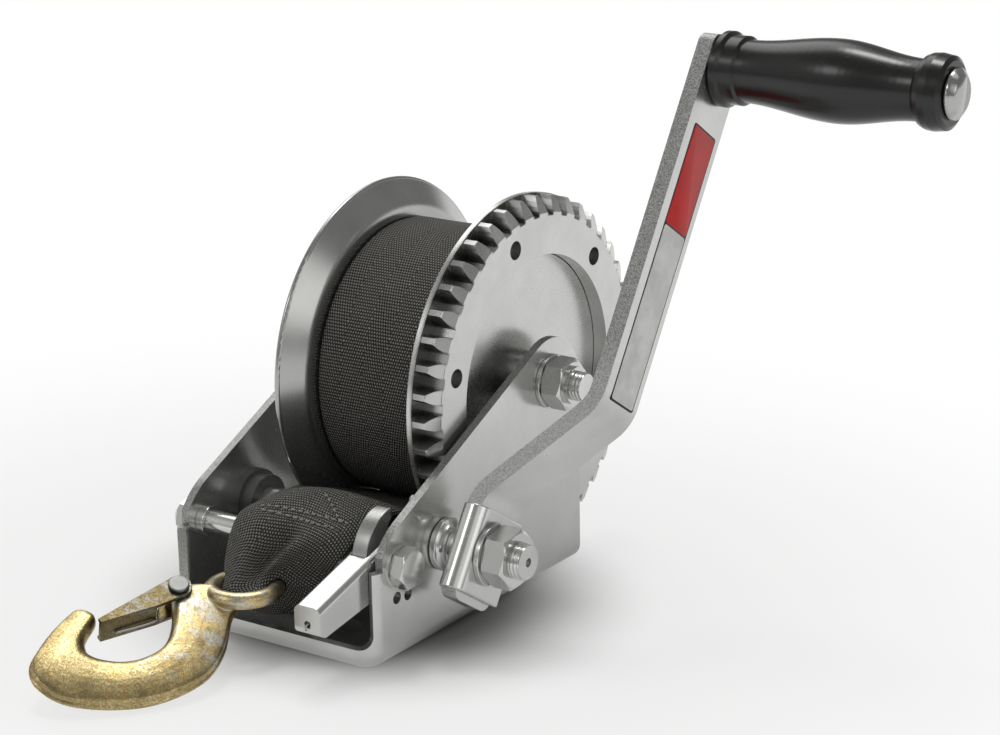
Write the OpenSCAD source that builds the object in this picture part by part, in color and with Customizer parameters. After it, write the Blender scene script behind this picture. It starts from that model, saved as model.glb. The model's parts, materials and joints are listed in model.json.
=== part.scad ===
// Boat trailer winch: crank, one gear stage, webbing drum, two-way pawl, strap and snap hook.
// X runs along the drum axle with the crank on +X, -Y is the strap side, Z is up.
// The origin is on the underside, midway between the side plates and between their ends.

/* [Frame] */
// Width of the frame over its side plates
frame_w = 88.8; // [86:0.2:94]
// Length of the side plates, front to back
plate_len = 126.3; // [124:0.5:134]
// Thickness of the frame's sheet
sheet = 3.1; // [2.6:0.1:3.6]
// Outer radius of the fold between floor and side plates
fold_r = 6; // [5:0.5:7.5]
// Outer radius of the front corners, seen from above
corner_r = 8; // [7.6:0.2:9]
// Height of the turned-up front lip
lip_h = 8; // [7:0.5:11]
// Reach of the lip in front of the side plates
lip_out = 3.5; // [3:0.1:4.5]
// Radius of the cut between lip and side plate
lip_cut_r = 5; // [3:0.5:6]
// Radius of the side plates' top round
top_round_r = 18.4; // [17:0.2:21]
// Radius of the side plates' front upper corner
front_round_r = 27; // [24:0.5:29]
// Height of the centre of that corner's arc
front_round_z = 24.9; // [23:0.1:27]
// Radius of the two small holes in the crank side's plate
pilot_hole_r = 2.2; // [1.5:0.1:3]

/* [Mounting holes] */
// Width of the slot near the front of the floor
slot_w = 10.5; // [8.5:0.5:13]
// Length of that slot over its round ends
slot_len = 40; // [30:1:50]
// Distance from the origin forward to the slot
slot_y = 41; // [38:0.5:44]
// Radius of the two rear bolt holes
bolt_hole_r = 5.25; // [4.25:0.25:6.5]
// Distance between the two rear bolt holes
bolt_spacing = 44; // [36:1:52]
// Distance from the origin back to the rear bolt holes
bolt_y = 38; // [32:0.5:48]

/* [Drum] */
// Height of the drum axle above the floor's underside
axle_z = 74.9; // [74:0.1:77]
// Distance from the origin back to the drum axle
axle_y = 44.5; // [43:0.1:46]
// Radius of the axle bolt's shank
axle_r = 5; // [4:0.5:6]
// Outer radius of the hub tube that turns on the axle bolt
hub_r = 9.4; // [8.5:0.1:11]
// Outer radius of the core that the strap winds on
core_r = 15; // [13:0.5:20]
// Thickness of both drum flanges
flange_t = 2; // [1.6:0.1:2.4]
// Outer radius of the dished flange's rim
rim_r = 65.8; // [62:0.2:67]
// Radius where the dished flange starts to flare
flare_r = 55.5; // [53.5:0.5:57]
// Sideways reach of the flare
flare_out = 6.6; // [4:0.2:9]
// Radius of the disc behind the gear ring
gear_disc_r = 67.15; // [66.9:0.05:69]
// Height of the disc's raised centre, which locates the gear ring
spigot_h = 2.5; // [2.2:0.1:4]
// Radius of the raised centre
spigot_r = 45.5; // [42:0.5:47]

/* [Gears] */
// Teeth on the drum's gear ring
ring_teeth = 42; // [42:1:42]
// Teeth on the pinion
pinion_teeth = 10; // [10:1:10]
// Module, which is pitch diameter divided by teeth
gear_module = 3.042; // [3.02:0.002:3.06]
// Thickness of the gear ring
ring_t = 8.3; // [7:0.1:9]
// Outer radius of the gear ring
ring_tip_r = 66.8; // [66.4:0.1:67]
// Radius at the bottom of the ring's tooth gaps
ring_root_r = 59.8; // [59:0.1:60.2]
// Thickness of a ring tooth at the pitch circle
ring_tooth_t = 4.45; // [4.2:0.05:4.6]
// Outer radius of the pinion
pinion_tip_r = 18; // [17.6:0.1:18.2]
// Radius at the bottom of the pinion's tooth gaps
pinion_root_r = 11.4; // [10.8:0.1:11.6]
// Thickness of a pinion tooth at the pitch circle
pinion_tooth_t = 4.65; // [4.4:0.05:4.8]
// Length of the pinion's teeth along the shaft
pinion_w = 6.5; // [5:0.1:8]
// Direction from the drum axle to the drive shaft
mesh_angle = 211.04; // [210:0.2:212]
// Direction of one tooth of the gear ring
ring_phase = 0; // [-4:0.1:4]
// Radius of the round holes in the gear ring
ring_hole_r = 3.4; // [2.5:0.1:4]
// Radius of the circle that those holes lie on
ring_hole_pcr = 52.9; // [51:0.1:54]
// Number of holes in the gear ring
ring_holes = 6; // [3:1:8]

/* [Drive shaft] */
// Radius of the drive shaft
shaft_r = 6; // [5.5:0.1:6.5]
// Wall of the plastic shaft bushes
bush_wall = 2; // [1.5:0.1:3]
// Flange radius of the left bush
bush_flange_r = 11.5; // [10:0.5:14]
// Length of the left bush inside the frame
bush_inner_len = 7.3; // [4:0.1:12]
// Length of the spool bush between frame and crank
spool_len = 9.4; // [7:0.1:14]
// Outer radius of the spool bush
spool_r = 9.5; // [8.5:0.1:12]

/* [Crank] */
// Thickness of the crank bar
arm_t = 6; // [5:0.1:8]
// Width of the crank bar
arm_w = 24; // [20:0.5:28]
// Distance from drive shaft to grip
crank_len = 184.9; // [150:0.1:230]
// Lean of the crank towards the back
crank_lean = 33.3; // [20:0.1:45]
// Sideways offset between the crank's two straight ends
joggle_out = 33.8; // [20:0.1:45]
// Distance from the shaft to the start of the joggle
joggle_start = 18; // [17:0.5:30]
// Length of the joggle along the crank
joggle_len = 39; // [34:0.5:60]
// Bend radius on the bar's middle line
joggle_r = 15; // [8:0.5:18]
// Sheet thickness of the socket folded round the crank's lower end
socket_t = 2.2; // [1.6:0.1:3]
// Length of the socket above the shaft
socket_up = 14; // [12.5:0.5:16]
// Length of the socket below the shaft
socket_down = 16; // [12:0.5:17]
// Width across flats of the crank nut
crank_nut_af = 19; // [17:1:22]
// Height of the crank nut
crank_nut_h = 9; // [7:0.5:12]

/* [Grip] */
// Length of the grip
grip_len = 87.5; // [80:0.5:110]
// Largest radius of the grip's barrel
grip_r = 14.5; // [13:0.1:18]
// Radius of the rivet that the grip turns on
grip_pin_r = 4; // [3:0.5:5]
// Radius of the rivet's head
grip_head_r = 9; // [8:0.5:11]

/* [Pawl] */
// Distance from the pinion's tips to the tie bolt, which the pawl turns on
pawl_gap = 8.7; // [8.5:0.1:10]
// Radius of the tie bolt
tie_r = 4; // [3.5:0.5:5]
// Thickness of the pawl
pawl_t = 6; // [4:0.2:7]
// Wall of the lever's folded channel
lever_t = 2.2; // [1.5:0.1:2.6]
// Length of the lever in front of its pivot
lever_len = 38; // [32:0.5:46]
// Distance from the lever to the side plate
lever_gap = 1; // [0.5:0.1:1.5]

/* [Strap] */
// Width of the webbing
strap_w = 50; // [48:0.5:52]
// Thickness of the webbing
strap_t = 1.8; // [1.4:0.1:2.4]
// Radius of the wound strap
roll_r = 52.1; // [30:0.5:52.5]

/* [Hook] */
// Radius of the bar that forms the hook's eye
eye_bar_r = 3; // [2.6:0.1:3.6]
// Radius of the eye, on the bar's middle line
eye_r = 11.2; // [10.4:0.1:12.6]
// Thickness of the hook's bowl
hook_t = 9; // [7:0.25:10]
// Radius of the latch rivet
latch_pin_r = 2; // [1.5:0.25:2.75]
// Sheet thickness of the latch
latch_t = 1.4; // [1:0.1:2]
// Thickness of the lug that carries the latch
lug_t = 7; // [5:0.25:8]

/* [Fits] */
// Radial clearance of turning pins and bushes
run_fit = 0.05; // [0.02:0.01:0.09]
// Radial clearance of bolts in their holes
bolt_fit = 0.2; // [0.1:0.05:0.4]
// End play beside turning parts
end_play = 0.3; // [0.2:0.05:0.6]
// Side gap between strap and drum flanges
strap_side_gap = 0.75; // [0.5:0.05:1.5]
// Gap between the gear ring's face and the side plate
ring_gap = 1.9; // [1.5:0.1:3]

/* [Hidden] */
$fn = 96;

zinc = [0.74, 0.75, 0.76];
dark_zinc = [0.62, 0.63, 0.64];
plastic = [0.09, 0.09, 0.09];
webbing = [0.13, 0.13, 0.13];
yellow_zinc = [0.78, 0.68, 0.42];

// Frame
plate_x = frame_w / 2;
inner_x = plate_x - sheet;
back_y = plate_len / 2;
front_y = -plate_len / 2;
lip_y = front_y - lip_out;
corner_y = lip_y + corner_r;
corner_x = plate_x - corner_r;
lip_cut_angle = acos((corner_r - lip_out) / corner_r);
top_round = [back_y - top_round_r, axle_z - 2.5];
front_round = [front_y + front_round_r, front_round_z];
axle = [axle_y, axle_z];

// Drum, from the gear side to the left
ring_x1 = inner_x - ring_gap;
ring_x0 = ring_x1 - ring_t;
disc_x0 = ring_x0 - flange_t;
left_disc_x1 = disc_x0 - strap_w - 2 * strap_side_gap;
left_disc_x0 = left_disc_x1 - flange_t;
spigot_x1 = ring_x0 + spigot_h;
spigot_x0 = disc_x0 + spigot_h;
ring_bore_r = spigot_r + 0.25;
tooth_bevel = 3;
flare_bend_r = 6;
washer_t = 1.5;
axle_nut_h = 8;
axle_af = 17;

// Gears and the shaft
pressure_angle = 20;
ring_pitch_r = gear_module * ring_teeth / 2;
pinion_pitch_r = gear_module * pinion_teeth / 2;
gear_centres = ring_pitch_r + pinion_pitch_r;
shaft = axle + gear_centres * [cos(mesh_angle), sin(mesh_angle)];
pinion_x1 = inner_x - end_play;
pinion_x0 = pinion_x1 - pinion_w;
pinion_phase = mesh_angle - 180 + 180 / pinion_teeth
    - (ring_phase - mesh_angle) * ring_teeth / pinion_teeth;
bush_r = shaft_r + run_fit + bush_wall;
clip_x = -plate_x - 1.2;
clip_t = 1.2;
clip_groove_r = shaft_r - 1;
flat_depth = 1.3;

// Crank
spool_x0 = plate_x + end_play;
spool_x1 = spool_x0 + spool_len;
arm_x0 = spool_x1 + socket_t;
arm_x1 = arm_x0 + arm_t;
socket_x1 = arm_x1 + socket_t;
crank_washer_t = 2;
crank_nut_x0 = socket_x1 + crank_washer_t;
shaft_end_x = crank_nut_x0 + crank_nut_h + 4.2;
joggle_angle = atan(joggle_out / joggle_len);
arm_top_x1 = arm_x1 + joggle_out;
arm_top_x0 = arm_x0 + joggle_out;
arm_end = 9.5;
grip_x0 = arm_top_x1 + end_play;
grip_x1 = grip_x0 + grip_len;

// Pawl and tie bolt
tie = shaft + [-pinion_tip_r - pawl_gap, 0.4];
lever_x1 = inner_x - lever_gap;
lever_x0 = lever_x1 - pawl_t - 2 * lever_t - 0.6;
pawl_x0 = lever_x0 + lever_t + 0.3;
pawl_x1 = pawl_x0 + pawl_t;
lever_slope = 16.5;
lever_hole_z = -10.2;
tie_af = 13;
tie_head = 5.3;
tie_nut_h = 5;
tie_flange_t = 1.2;

// Strap
strap_x1 = disc_x0 - strap_side_gap;
strap_x0 = strap_x1 - strap_w;
eye_loop_r = eye_bar_r + 2.2;
loop_w = 10;

// Hook: the eye lies level, the forged body is drawn in a plane that is turned from it
eye_at = [-5.6, -72.2, 23];
hook_at = [-7.4, -72.9, 23];
hook_turn = [-26.9, 9.6, -108.9];
latch_at = [19.7, -7.8];
eye_rear = [eye_at[1] + eye_r, eye_at[2]];
ear_r = 4.6;
web_start = [11, 3.7];
web_end = [30.8, 0.4];

// ---- Helpers ----

// Puts a shape drawn in (y, z) at p and grows it towards +X from x
module lay_x(x, p = [0, 0]) {
    translate([x, p[0], p[1]])
        rotate([90, 0, 90])
            children();
}

// Extrudes a (y, z) outline between two X planes
module slab_x(x0, x1, p = [0, 0]) {
    lay_x(x0, p)
        linear_extrude(x1 - x0)
            children();
}

// Round bar or tube along X
module bar_x(p, x0, x1, r, bore = 0) {
    lay_x(x0, p)
        difference() {
            cylinder(h = x1 - x0, r = r);
            if (bore > 0)
                translate([0, 0, -1])
                    cylinder(h = x1 - x0 + 2, r = bore);
        }
}

// Hexagon along X with both face corners chamfered
module hex_x(p, x0, x1, af, bore = 0) {
    corner = af / 2 / cos(30);
    face_r = af / 2 - 0.2;
    reach = corner + 0.3;
    rise = (reach - face_r) * tan(30);
    h = x1 - x0;
    lay_x(x0, p)
        difference() {
            intersection() {
                rotate([0, 0, 10])
                    cylinder(h = h, r = corner, $fn = 6);
                rotate_extrude()
                    polygon([[0, 0], [face_r, 0], [reach, rise], [reach, h - rise], [face_r, h], [0, h]]);
            }
            if (bore > 0)
                translate([0, 0, -1])
                    cylinder(h = h + 2, r = bore);
        }
}

// Points of a path whose inner corners are rounded to radius r
function rounded_path(p, r, steps = 8) = [
    for (i = [0 : len(p) - 1])
        if (i == 0 || i == len(p) - 1)
            p[i]
        else
            each corner_arc(p[i - 1], p[i], p[i + 1], r, steps)];

function unit(v) = v / norm(v);
function side(a, b) = a[0] * b[1] - a[1] * b[0];

function corner_arc(a, b, c, r, steps) =
    let (
        u = unit(b - a),
        v = unit(c - b),
        turn = side(u, v) > 0 ? 1 : -1,
        angle = acos(u * v),
        start = b - u * r * tan(angle / 2),
        centre = start + turn * r * [-u[1], u[0]],
        from = start - centre)
    [for (k = [0 : steps])
        let (t = turn * angle * k / steps)
        centre + [from[0] * cos(t) - from[1] * sin(t), from[0] * sin(t) + from[1] * cos(t)]];

// Strip of even thickness t along a path
module strip(path, t) {
    n = len(path);
    normals = [
        for (i = [0 : n - 1])
            let (
                a = unit(path[min(i + 1, n - 1)] - path[min(i, n - 2)]),
                b = unit(path[max(i, 1)] - path[max(i - 1, 0)]),
                m = unit(a + b))
            [-m[1], m[0]] / max(0.5, m * a)];
    polygon(concat(
        [for (i = [0 : n - 1]) path[i] - normals[i] * t / 2],
        [for (i = [n - 1 : -1 : 0]) path[i] + normals[i] * t / 2]));
}

// Rectangle from corner a to corner b
module rect(a, b) {
    translate(a)
        square(b - a);
}

// ---- Frame ----

// Outside of the folded section, from the middle out to reach
module fold_outline(reach, h, r) {
    rect([0, r], [reach, h]);
    rect([0, 0], [reach - r, h]);
    intersection() {
        translate([reach - r, r])
            circle(r);
        rect([0, 0], [reach, h]);
    }
}

// Floor, fold and wall of the sheet
module fold_section(reach, h) {
    difference() {
        fold_outline(reach, h, fold_r);
        translate([0, sheet])
            fold_outline(reach - sheet, h, fold_r - sheet);
    }
}

// Side view of a plate: two rounds joined by their common tangent
module plate_outline() {
    d = top_round - front_round;
    slope = atan2(d[1], d[0]) - asin((front_round_r - top_round_r) / norm(d));
    n = [-sin(slope), cos(slope)];
    translate(top_round)
        circle(top_round_r);
    intersection() {
        translate(front_round)
            circle(front_round_r);
        rect([front_y, 0], [back_y, front_round_z + front_round_r]);
    }
    polygon([
        [lip_y - 1, -1],
        [back_y, -1],
        [back_y, top_round[1]],
        top_round,
        top_round + top_round_r * n,
        front_round + front_round_r * n,
        front_round,
        [front_y, front_round_z],
        [front_y, lip_h + lip_cut_r],
        [lip_y - 1, lip_h + lip_cut_r]]);
}

// Quarter of the pan's front corner, its wall cut down from the side plate to the lip
module front_corner() {
    translate([corner_x, corner_y, 0])
        difference() {
            rotate([0, 0, -90])
                rotate_extrude(angle = 90)
                    fold_section(corner_r, front_round_z + 10);
            rotate([0, 0, lip_cut_angle])
                rotate([90, 0, 0])
                    mirror([1, 0, 0])
                        linear_extrude(3 * corner_r)
                            lip_cut_outline();
        }
}

// Region cut away, with t forward from the side plate's edge and z up
module lip_cut_outline() {
    rect([0, lip_h + lip_cut_r], [2 * corner_r, axle_z]);
    rect([lip_cut_r, lip_h], [2 * corner_r, lip_h + lip_cut_r + 1]);
    intersection() {
        translate([lip_cut_r, lip_h + lip_cut_r])
            circle(lip_cut_r);
        rect([0, 0], [lip_cut_r + 1, axle_z]);
    }
}

module frame() {
    color(zinc)
        difference() {
            intersection() {
                union() {
                    for (s = [0, 1])
                        mirror([s, 0, 0]) {
                            translate([0, back_y, 0])
                                rotate([90, 0, 0])
                                    linear_extrude(back_y - corner_y)
                                        fold_section(plate_x, axle_z + top_round_r);
                            front_corner();
                        }
                    translate([-corner_x, corner_y, 0])
                        rotate([90, 0, 90])
                            mirror([1, 0, 0])
                                linear_extrude(2 * corner_x)
                                    fold_section(corner_r, lip_h);
                }
                slab_x(-plate_x - 1, plate_x + 1)
                    plate_outline();
            }
            frame_holes();
        }
}

module frame_holes() {
    bar_x(axle, -plate_x - 1, plate_x + 1, axle_r + bolt_fit);
    bar_x(shaft, -plate_x - 1, plate_x + 1, bush_r);
    bar_x(tie, -plate_x - 1, plate_x + 1, tie_r + bolt_fit);
    for (p = [[-1.2, -11.3], [5.1, -12]])
        bar_x(tie + p, inner_x - 1, plate_x + 1, pilot_hole_r);
    for (s = [-1, 1]) {
        translate([s * bolt_spacing / 2, bolt_y, -1])
            cylinder(h = sheet + 2, r = bolt_hole_r);
        translate([s * (slot_len - slot_w) / 2, -slot_y, -1])
            cylinder(h = sheet + 2, r = slot_w / 2);
    }
    translate([-(slot_len - slot_w) / 2, -slot_y - slot_w / 2, -1])
        cube([slot_len - slot_w, slot_w, sheet + 2]);
}

// ---- Drum ----

module left_flange() {
    mid_x = left_disc_x1 - flange_t / 2;
    bead_r = flange_t * 0.55;
    rim = [rim_r - bead_r, mid_x - flare_out];
    color(zinc)
        lay_x(0, axle)
            rotate_extrude() {
                strip(rounded_path([[hub_r, mid_x], [flare_r, mid_x], rim], flare_bend_r), flange_t);
                translate(rim)
                    circle(bead_r);
            }
}

module drum_core() {
    color(dark_zinc)
        bar_x(axle, left_disc_x1, spigot_x0, core_r, hub_r);
}

module drum_hub() {
    color(dark_zinc)
        bar_x(axle, -inner_x + end_play, inner_x - end_play, hub_r, axle_r + run_fit);
}

module gear_flange() {
    color(zinc)
        lay_x(0, axle)
            rotate_extrude()
                polygon([
                    [hub_r, spigot_x0], [spigot_r - flange_t, spigot_x0], [spigot_r - flange_t, disc_x0],
                    [gear_disc_r, disc_x0], [gear_disc_r, ring_x0], [spigot_r, ring_x0],
                    [spigot_r, spigot_x1], [hub_r, spigot_x1]]);
}

// Half of a tooth's angle at radius r, with involute flanks above the base circle
function involute(a) = tan(a) * 180 / PI - a;

function tooth_half(r, pitch_r, thick) =
    let (
        base_r = pitch_r * cos(pressure_angle),
        a = acos(min(1, base_r / max(r, base_r))))
    thick / 2 / pitch_r * 180 / PI + involute(pressure_angle) - involute(a);

module gear_outline(teeth, pitch_r, thick, root_r, tip_r, phase) {
    base_r = pitch_r * cos(pressure_angle);
    low = max(root_r, base_r);
    radii = concat(root_r < base_r ? [root_r] : [], [for (k = [0 : 4]) low + (tip_r - low) * k / 4]);
    last = len(radii) - 1;
    polygon([
        for (i = [0 : teeth - 1])
            let (c = phase + 360 * i / teeth)
            each concat(
                [for (k = [0 : last])
                    let (a = c - tooth_half(radii[k], pitch_r, thick))
                    radii[k] * [cos(a), sin(a)]],
                [for (k = [last : -1 : 0])
                    let (a = c + tooth_half(radii[k], pitch_r, thick))
                    radii[k] * [cos(a), sin(a)]])]);
}

module gear_ring() {
    color(zinc)
        lay_x(ring_x0, axle)
            difference() {
                intersection() {
                    linear_extrude(ring_t)
                        gear_outline(ring_teeth, ring_pitch_r, ring_tooth_t, ring_root_r, ring_tip_r, ring_phase);
                    ring_blank();
                }
                translate([0, 0, -1])
                    cylinder(h = ring_t + 2, r = ring_bore_r);
                for (i = [0 : ring_holes - 1])
                    rotate([0, 0, 45 + 360 * i / ring_holes])
                        translate([ring_hole_pcr, 0, -1])
                            cylinder(h = ring_t + 2, r = ring_hole_r);
            }
}

// Pressed blank: the teeth fall away in a bevel towards the front face
module ring_blank() {
    bore = ring_bore_r - 1;
    rim = ring_tip_r + 1;
    rotate_extrude()
        polygon(concat(
            [[bore, 0], [rim, 0]],
            rounded_path([
                [rim, 0.01], [ring_tip_r, ring_t - tooth_bevel],
                [ring_root_r + 1, ring_t], [bore, ring_t]], 1.2, 4)));
}

module wound_strap() {
    color(webbing)
        bar_x(axle, strap_x0, strap_x1, roll_r, core_r);
}

// ---- Axle bolt ----

module axle_bolt() {
    head_x1 = -plate_x - washer_t;
    color(zinc) {
        bar_x(axle, head_x1, plate_x + washer_t + axle_nut_h + 6, axle_r);
        hex_x(axle, head_x1 - 6.4, head_x1, axle_af);
    }
}

module axle_washers() {
    color(zinc)
        for (x = [-plate_x - washer_t, plate_x])
            bar_x(axle, x, x + washer_t, axle_r * 2, axle_r);
}

module axle_nut() {
    x0 = plate_x + washer_t;
    color(zinc) {
        hex_x(axle, x0, x0 + axle_nut_h, axle_af, axle_r);
        bar_x(axle, x0 + axle_nut_h, x0 + axle_nut_h + 2, axle_r * 1.4, axle_r);
    }
}

// ---- Drive shaft ----

module drive_shaft() {
    color(zinc)
        difference() {
            bar_x(shaft, clip_x - clip_t - 1.6, shaft_end_x, shaft_r);
            difference() {
                bar_x(shaft, spool_x1, socket_x1, shaft_r + 1);
                slab_crank(spool_x1 - 1, socket_x1 + 1)
                    square([2 * (shaft_r - flat_depth), 4 * shaft_r], center = true);
            }
            bar_x(shaft, shaft_end_x - 2, shaft_end_x + 1, 1.6);
            bar_x(shaft, clip_x - clip_t, clip_x, shaft_r + 1, clip_groove_r);
        }
}

// Hole for the shaft's flatted end: a round with two flats along the bar
module flatted_round(r) {
    intersection() {
        circle(r);
        square([2 * (r - flat_depth), 2 * r + 2], center = true);
    }
}

module pinion() {
    color(dark_zinc)
        slab_x(pinion_x0, pinion_x1, shaft)
            difference() {
                gear_outline(pinion_teeth, pinion_pitch_r, pinion_tooth_t, pinion_root_r, pinion_tip_r,
                    pinion_phase);
                circle(shaft_r);
            }
}

module left_shaft_bush() {
    color(plastic) {
        bar_x(shaft, -plate_x, -inner_x, bush_r, shaft_r + run_fit);
        bar_x(shaft, -inner_x, -inner_x + 2.5, bush_flange_r, shaft_r + run_fit);
        bar_x(shaft, -inner_x + 2.5, -inner_x + bush_inner_len, bush_flange_r - 1.5, shaft_r + run_fit);
    }
}

module right_shaft_bush() {
    color(plastic)
        bar_x(shaft, inner_x, plate_x, bush_r, shaft_r + run_fit);
}

module shaft_clip() {
    color(dark_zinc)
        difference() {
            bar_x(shaft, clip_x - clip_t, clip_x, shaft_r + 3, clip_groove_r);
            translate([clip_x - clip_t - 1, shaft[0] - 2, shaft[1] - shaft_r - 4])
                cube([clip_t + 2, 4, shaft_r + 2]);
        }
}

module spool_bush() {
    groove = 3;
    color(zinc)
        lay_x(spool_x0, shaft)
            rotate_extrude()
                difference() {
                    rect([shaft_r, 0], [spool_r, spool_len]);
                    translate([spool_r + groove * 0.55, spool_len / 2])
                        circle(groove);
                }
}

// ---- Crank ----

// Draws in (s, x): s runs up the crank from the shaft, x is the world's X
module on_crank() {
    translate([0, shaft[0], shaft[1]])
        rotate([-crank_lean, 0, 0])
            children();
}

// Outline seen along X, with s up and w across the bar
module slab_crank(x0, x1) {
    on_crank()
        slab_x(x0, x1)
            children();
}

module rounded_rect(a, b, r) {
    rect([a[0] + r, a[1]], [b[0] - r, b[1]]);
    rect([a[0], a[1] + r], [b[0], b[1] - r]);
    for (x = [a[0] + r, b[0] - r], y = [a[1] + r, b[1] - r])
        translate([x, y])
            circle(r);
}

module crank_socket() {
    fold = socket_t + arm_t / 2;
    fold_w = -arm_w / 2 + fold - 1.5;
    color(zinc)
        difference() {
            on_crank()
                translate([0, 0, -socket_down])
                    linear_extrude(socket_down + socket_up)
                        difference() {
                            socket_outline(fold, fold_w);
                            socket_outline(fold - socket_t, fold_w);
                        }
            slab_crank(spool_x1 - 1, socket_x1 + 1)
                flatted_round(shaft_r + bolt_fit);
        }
}

// Section of the socket across the bar: a U with its round fold at the front
module socket_outline(r, fold_w) {
    mid_x = (arm_x0 + arm_x1) / 2;
    translate([mid_x, fold_w])
        circle(r);
    rect([mid_x - r, fold_w], [mid_x + r, arm_w / 2 + 1.5 + (r > arm_t / 2 + 0.1 ? 0 : 1)]);
}

module crank_arm() {
    mid_x = (arm_x0 + arm_x1) / 2;
    low = -socket_down - 3;
    color(zinc)
        difference() {
            intersection() {
                on_crank()
                    rotate([90, 0, 0])
                        translate([0, 0, -arm_w / 2])
                            linear_extrude(arm_w)
                                strip(rounded_path([
                                    [mid_x, low], [mid_x, joggle_start],
                                    [mid_x + joggle_out, joggle_start + joggle_len],
                                    [mid_x + joggle_out, crank_len + arm_end]], joggle_r), arm_t);
                slab_crank(arm_x0 - 1, arm_top_x1 + 1)
                    rounded_rect([-arm_w / 2, low], [arm_w / 2, crank_len + arm_end], 5);
                union() {
                    on_crank()
                        translate([0, 0, low - 1])
                            linear_extrude(socket_up - low + 1)
                                socket_outline(arm_t / 2, -arm_w / 2 + arm_t / 2 + socket_t - 1.5);
                    slab_crank(arm_x0 - 1, arm_top_x1 + 1)
                        rect([-arm_w, socket_up], [arm_w, crank_len + arm_w]);
                    slab_crank(arm_x0 - 1, arm_top_x1 + 1)
                        rect([-arm_w, low - 1], [arm_w, -socket_down]);
                }
            }
            slab_crank(arm_x0 - 1, arm_x1 + 1)
                flatted_round(shaft_r);
            on_crank()
                bar_x([0, crank_len], arm_top_x0 - 1, arm_top_x1 + 1, grip_pin_r);
        }
}

module crank_washer() {
    color(zinc)
        bar_x(shaft, socket_x1, crank_nut_x0, crank_nut_af * 0.595, shaft_r);
}

module crank_nut() {
    color(zinc)
        hex_x(shaft, crank_nut_x0, crank_nut_x0 + crank_nut_h, crank_nut_af, shaft_r);
}

// ---- Grip ----

// Barrel: collar, step, neck, swell, waist and end flange, as radius against distance
module grip() {
    collar = 13.4;
    neck = 11;
    waist = 10.6;
    flange_len = 9;
    swell_at = 0.52 * grip_len;
    swell_end = grip_len - flange_len - 2;
    steps = 12;
    color(plastic)
        on_crank()
            lay_x(grip_x0, [0, crank_len])
                rotate_extrude()
                    difference() {
                        polygon(concat(
                            [[0, 0], [collar - 1, 0], [collar, 1], [collar, 3], [12.2, 4.2], [12.2, 9], [neck, 9.8]],
                            [for (k = [1 : steps])
                                let (t = k / steps)
                                [neck + (grip_r - neck) * (1 - cos(180 * t)) / 2, 9.8 + (swell_at - 9.8) * t]],
                            [for (k = [1 : steps])
                                let (t = k / steps)
                                [grip_r - (grip_r - waist) * (1 - cos(180 * t)) / 2,
                                    swell_at + (swell_end - swell_at) * t]],
                            [[12.3, swell_end + 1.6], [13, swell_end + 3.4], [13.2, swell_end + 6],
                                [12.6, grip_len - 1], [11, grip_len], [0, grip_len]]));
                        rect([-1, -1], [grip_pin_r + run_fit, grip_len + 1]);
                    }
}

module grip_rivet() {
    color(zinc)
        on_crank()
            lay_x(0, [0, crank_len])
                rotate_extrude()
                    polygon([
                        [0, arm_top_x0], [grip_pin_r, arm_top_x0], [grip_pin_r, grip_x1 + end_play],
                        [grip_head_r, grip_x1 + end_play], [grip_head_r, grip_x1 + 1.6],
                        [grip_head_r - 2.6, grip_x1 + 3.4], [0, grip_x1 + 3.4]]);
}

// ---- Tie bolt and pawl ----

module tie_bolt() {
    color(zinc) {
        bar_x(tie, -plate_x - tie_nut_h, plate_x + tie_flange_t, tie_r);
        bar_x(tie, plate_x, plate_x + tie_flange_t, tie_af * 0.6);
        hex_x(tie, plate_x + tie_flange_t, plate_x + tie_flange_t + tie_head, tie_af);
    }
}

module tie_collar() {
    color(zinc)
        bar_x(tie, -inner_x, -inner_x + 3.3, tie_r + 1.5, tie_r);
}

module tie_nut() {
    dome_x = -plate_x - tie_nut_h + 1.5;
    color(zinc)
        difference() {
            union() {
                hex_x(tie, -plate_x - tie_nut_h, -plate_x, tie_af);
                intersection() {
                    translate([dome_x, tie[0], tie[1]])
                        sphere(r = tie_af * 0.44);
                    bar_x(tie, dome_x - tie_af, dome_x, tie_af);
                }
            }
            bar_x(tie, -plate_x - tie_nut_h, -plate_x + 1, tie_r);
        }
}

// Hub, hooked upper claw and short lower nose, drawn from the pivot
module pawl() {
    color(dark_zinc)
        slab_x(pawl_x0, pawl_x1, tie)
            difference() {
                union() {
                    circle(7.2);
                    intersection() {
                        translate([7, 1.5])
                            circle(16.5);
                        rect([-12, -1], [5.8, 20]);
                    }
                    polygon([[-3.5, -5.5], [6.5, -12], [11, -11.2], [10.1, -8.9], [5.5, -1.5], [0, -5.5]]);
                }
                translate([10, 8.5])
                    circle(7);
                circle(tie_r + run_fit);
            }
}

// Side view of the lever, drawn from the pivot
module lever_outline() {
    nose = [-lever_len, -14.6];
    circle(7.8);
    polygon([
        [0, 7.8], [-3, 8.6], [-8.7, 5.4], [-lever_len, lever_top(-lever_len)],
        nose + [0, 3], nose + [3, 0], [-10, -10.6], [-3, -7.2]]);
    translate(nose + [3, 3])
        circle(3);
}

function lever_top(y) = 4.8 + tan(lever_slope) * (y + 9);

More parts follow.
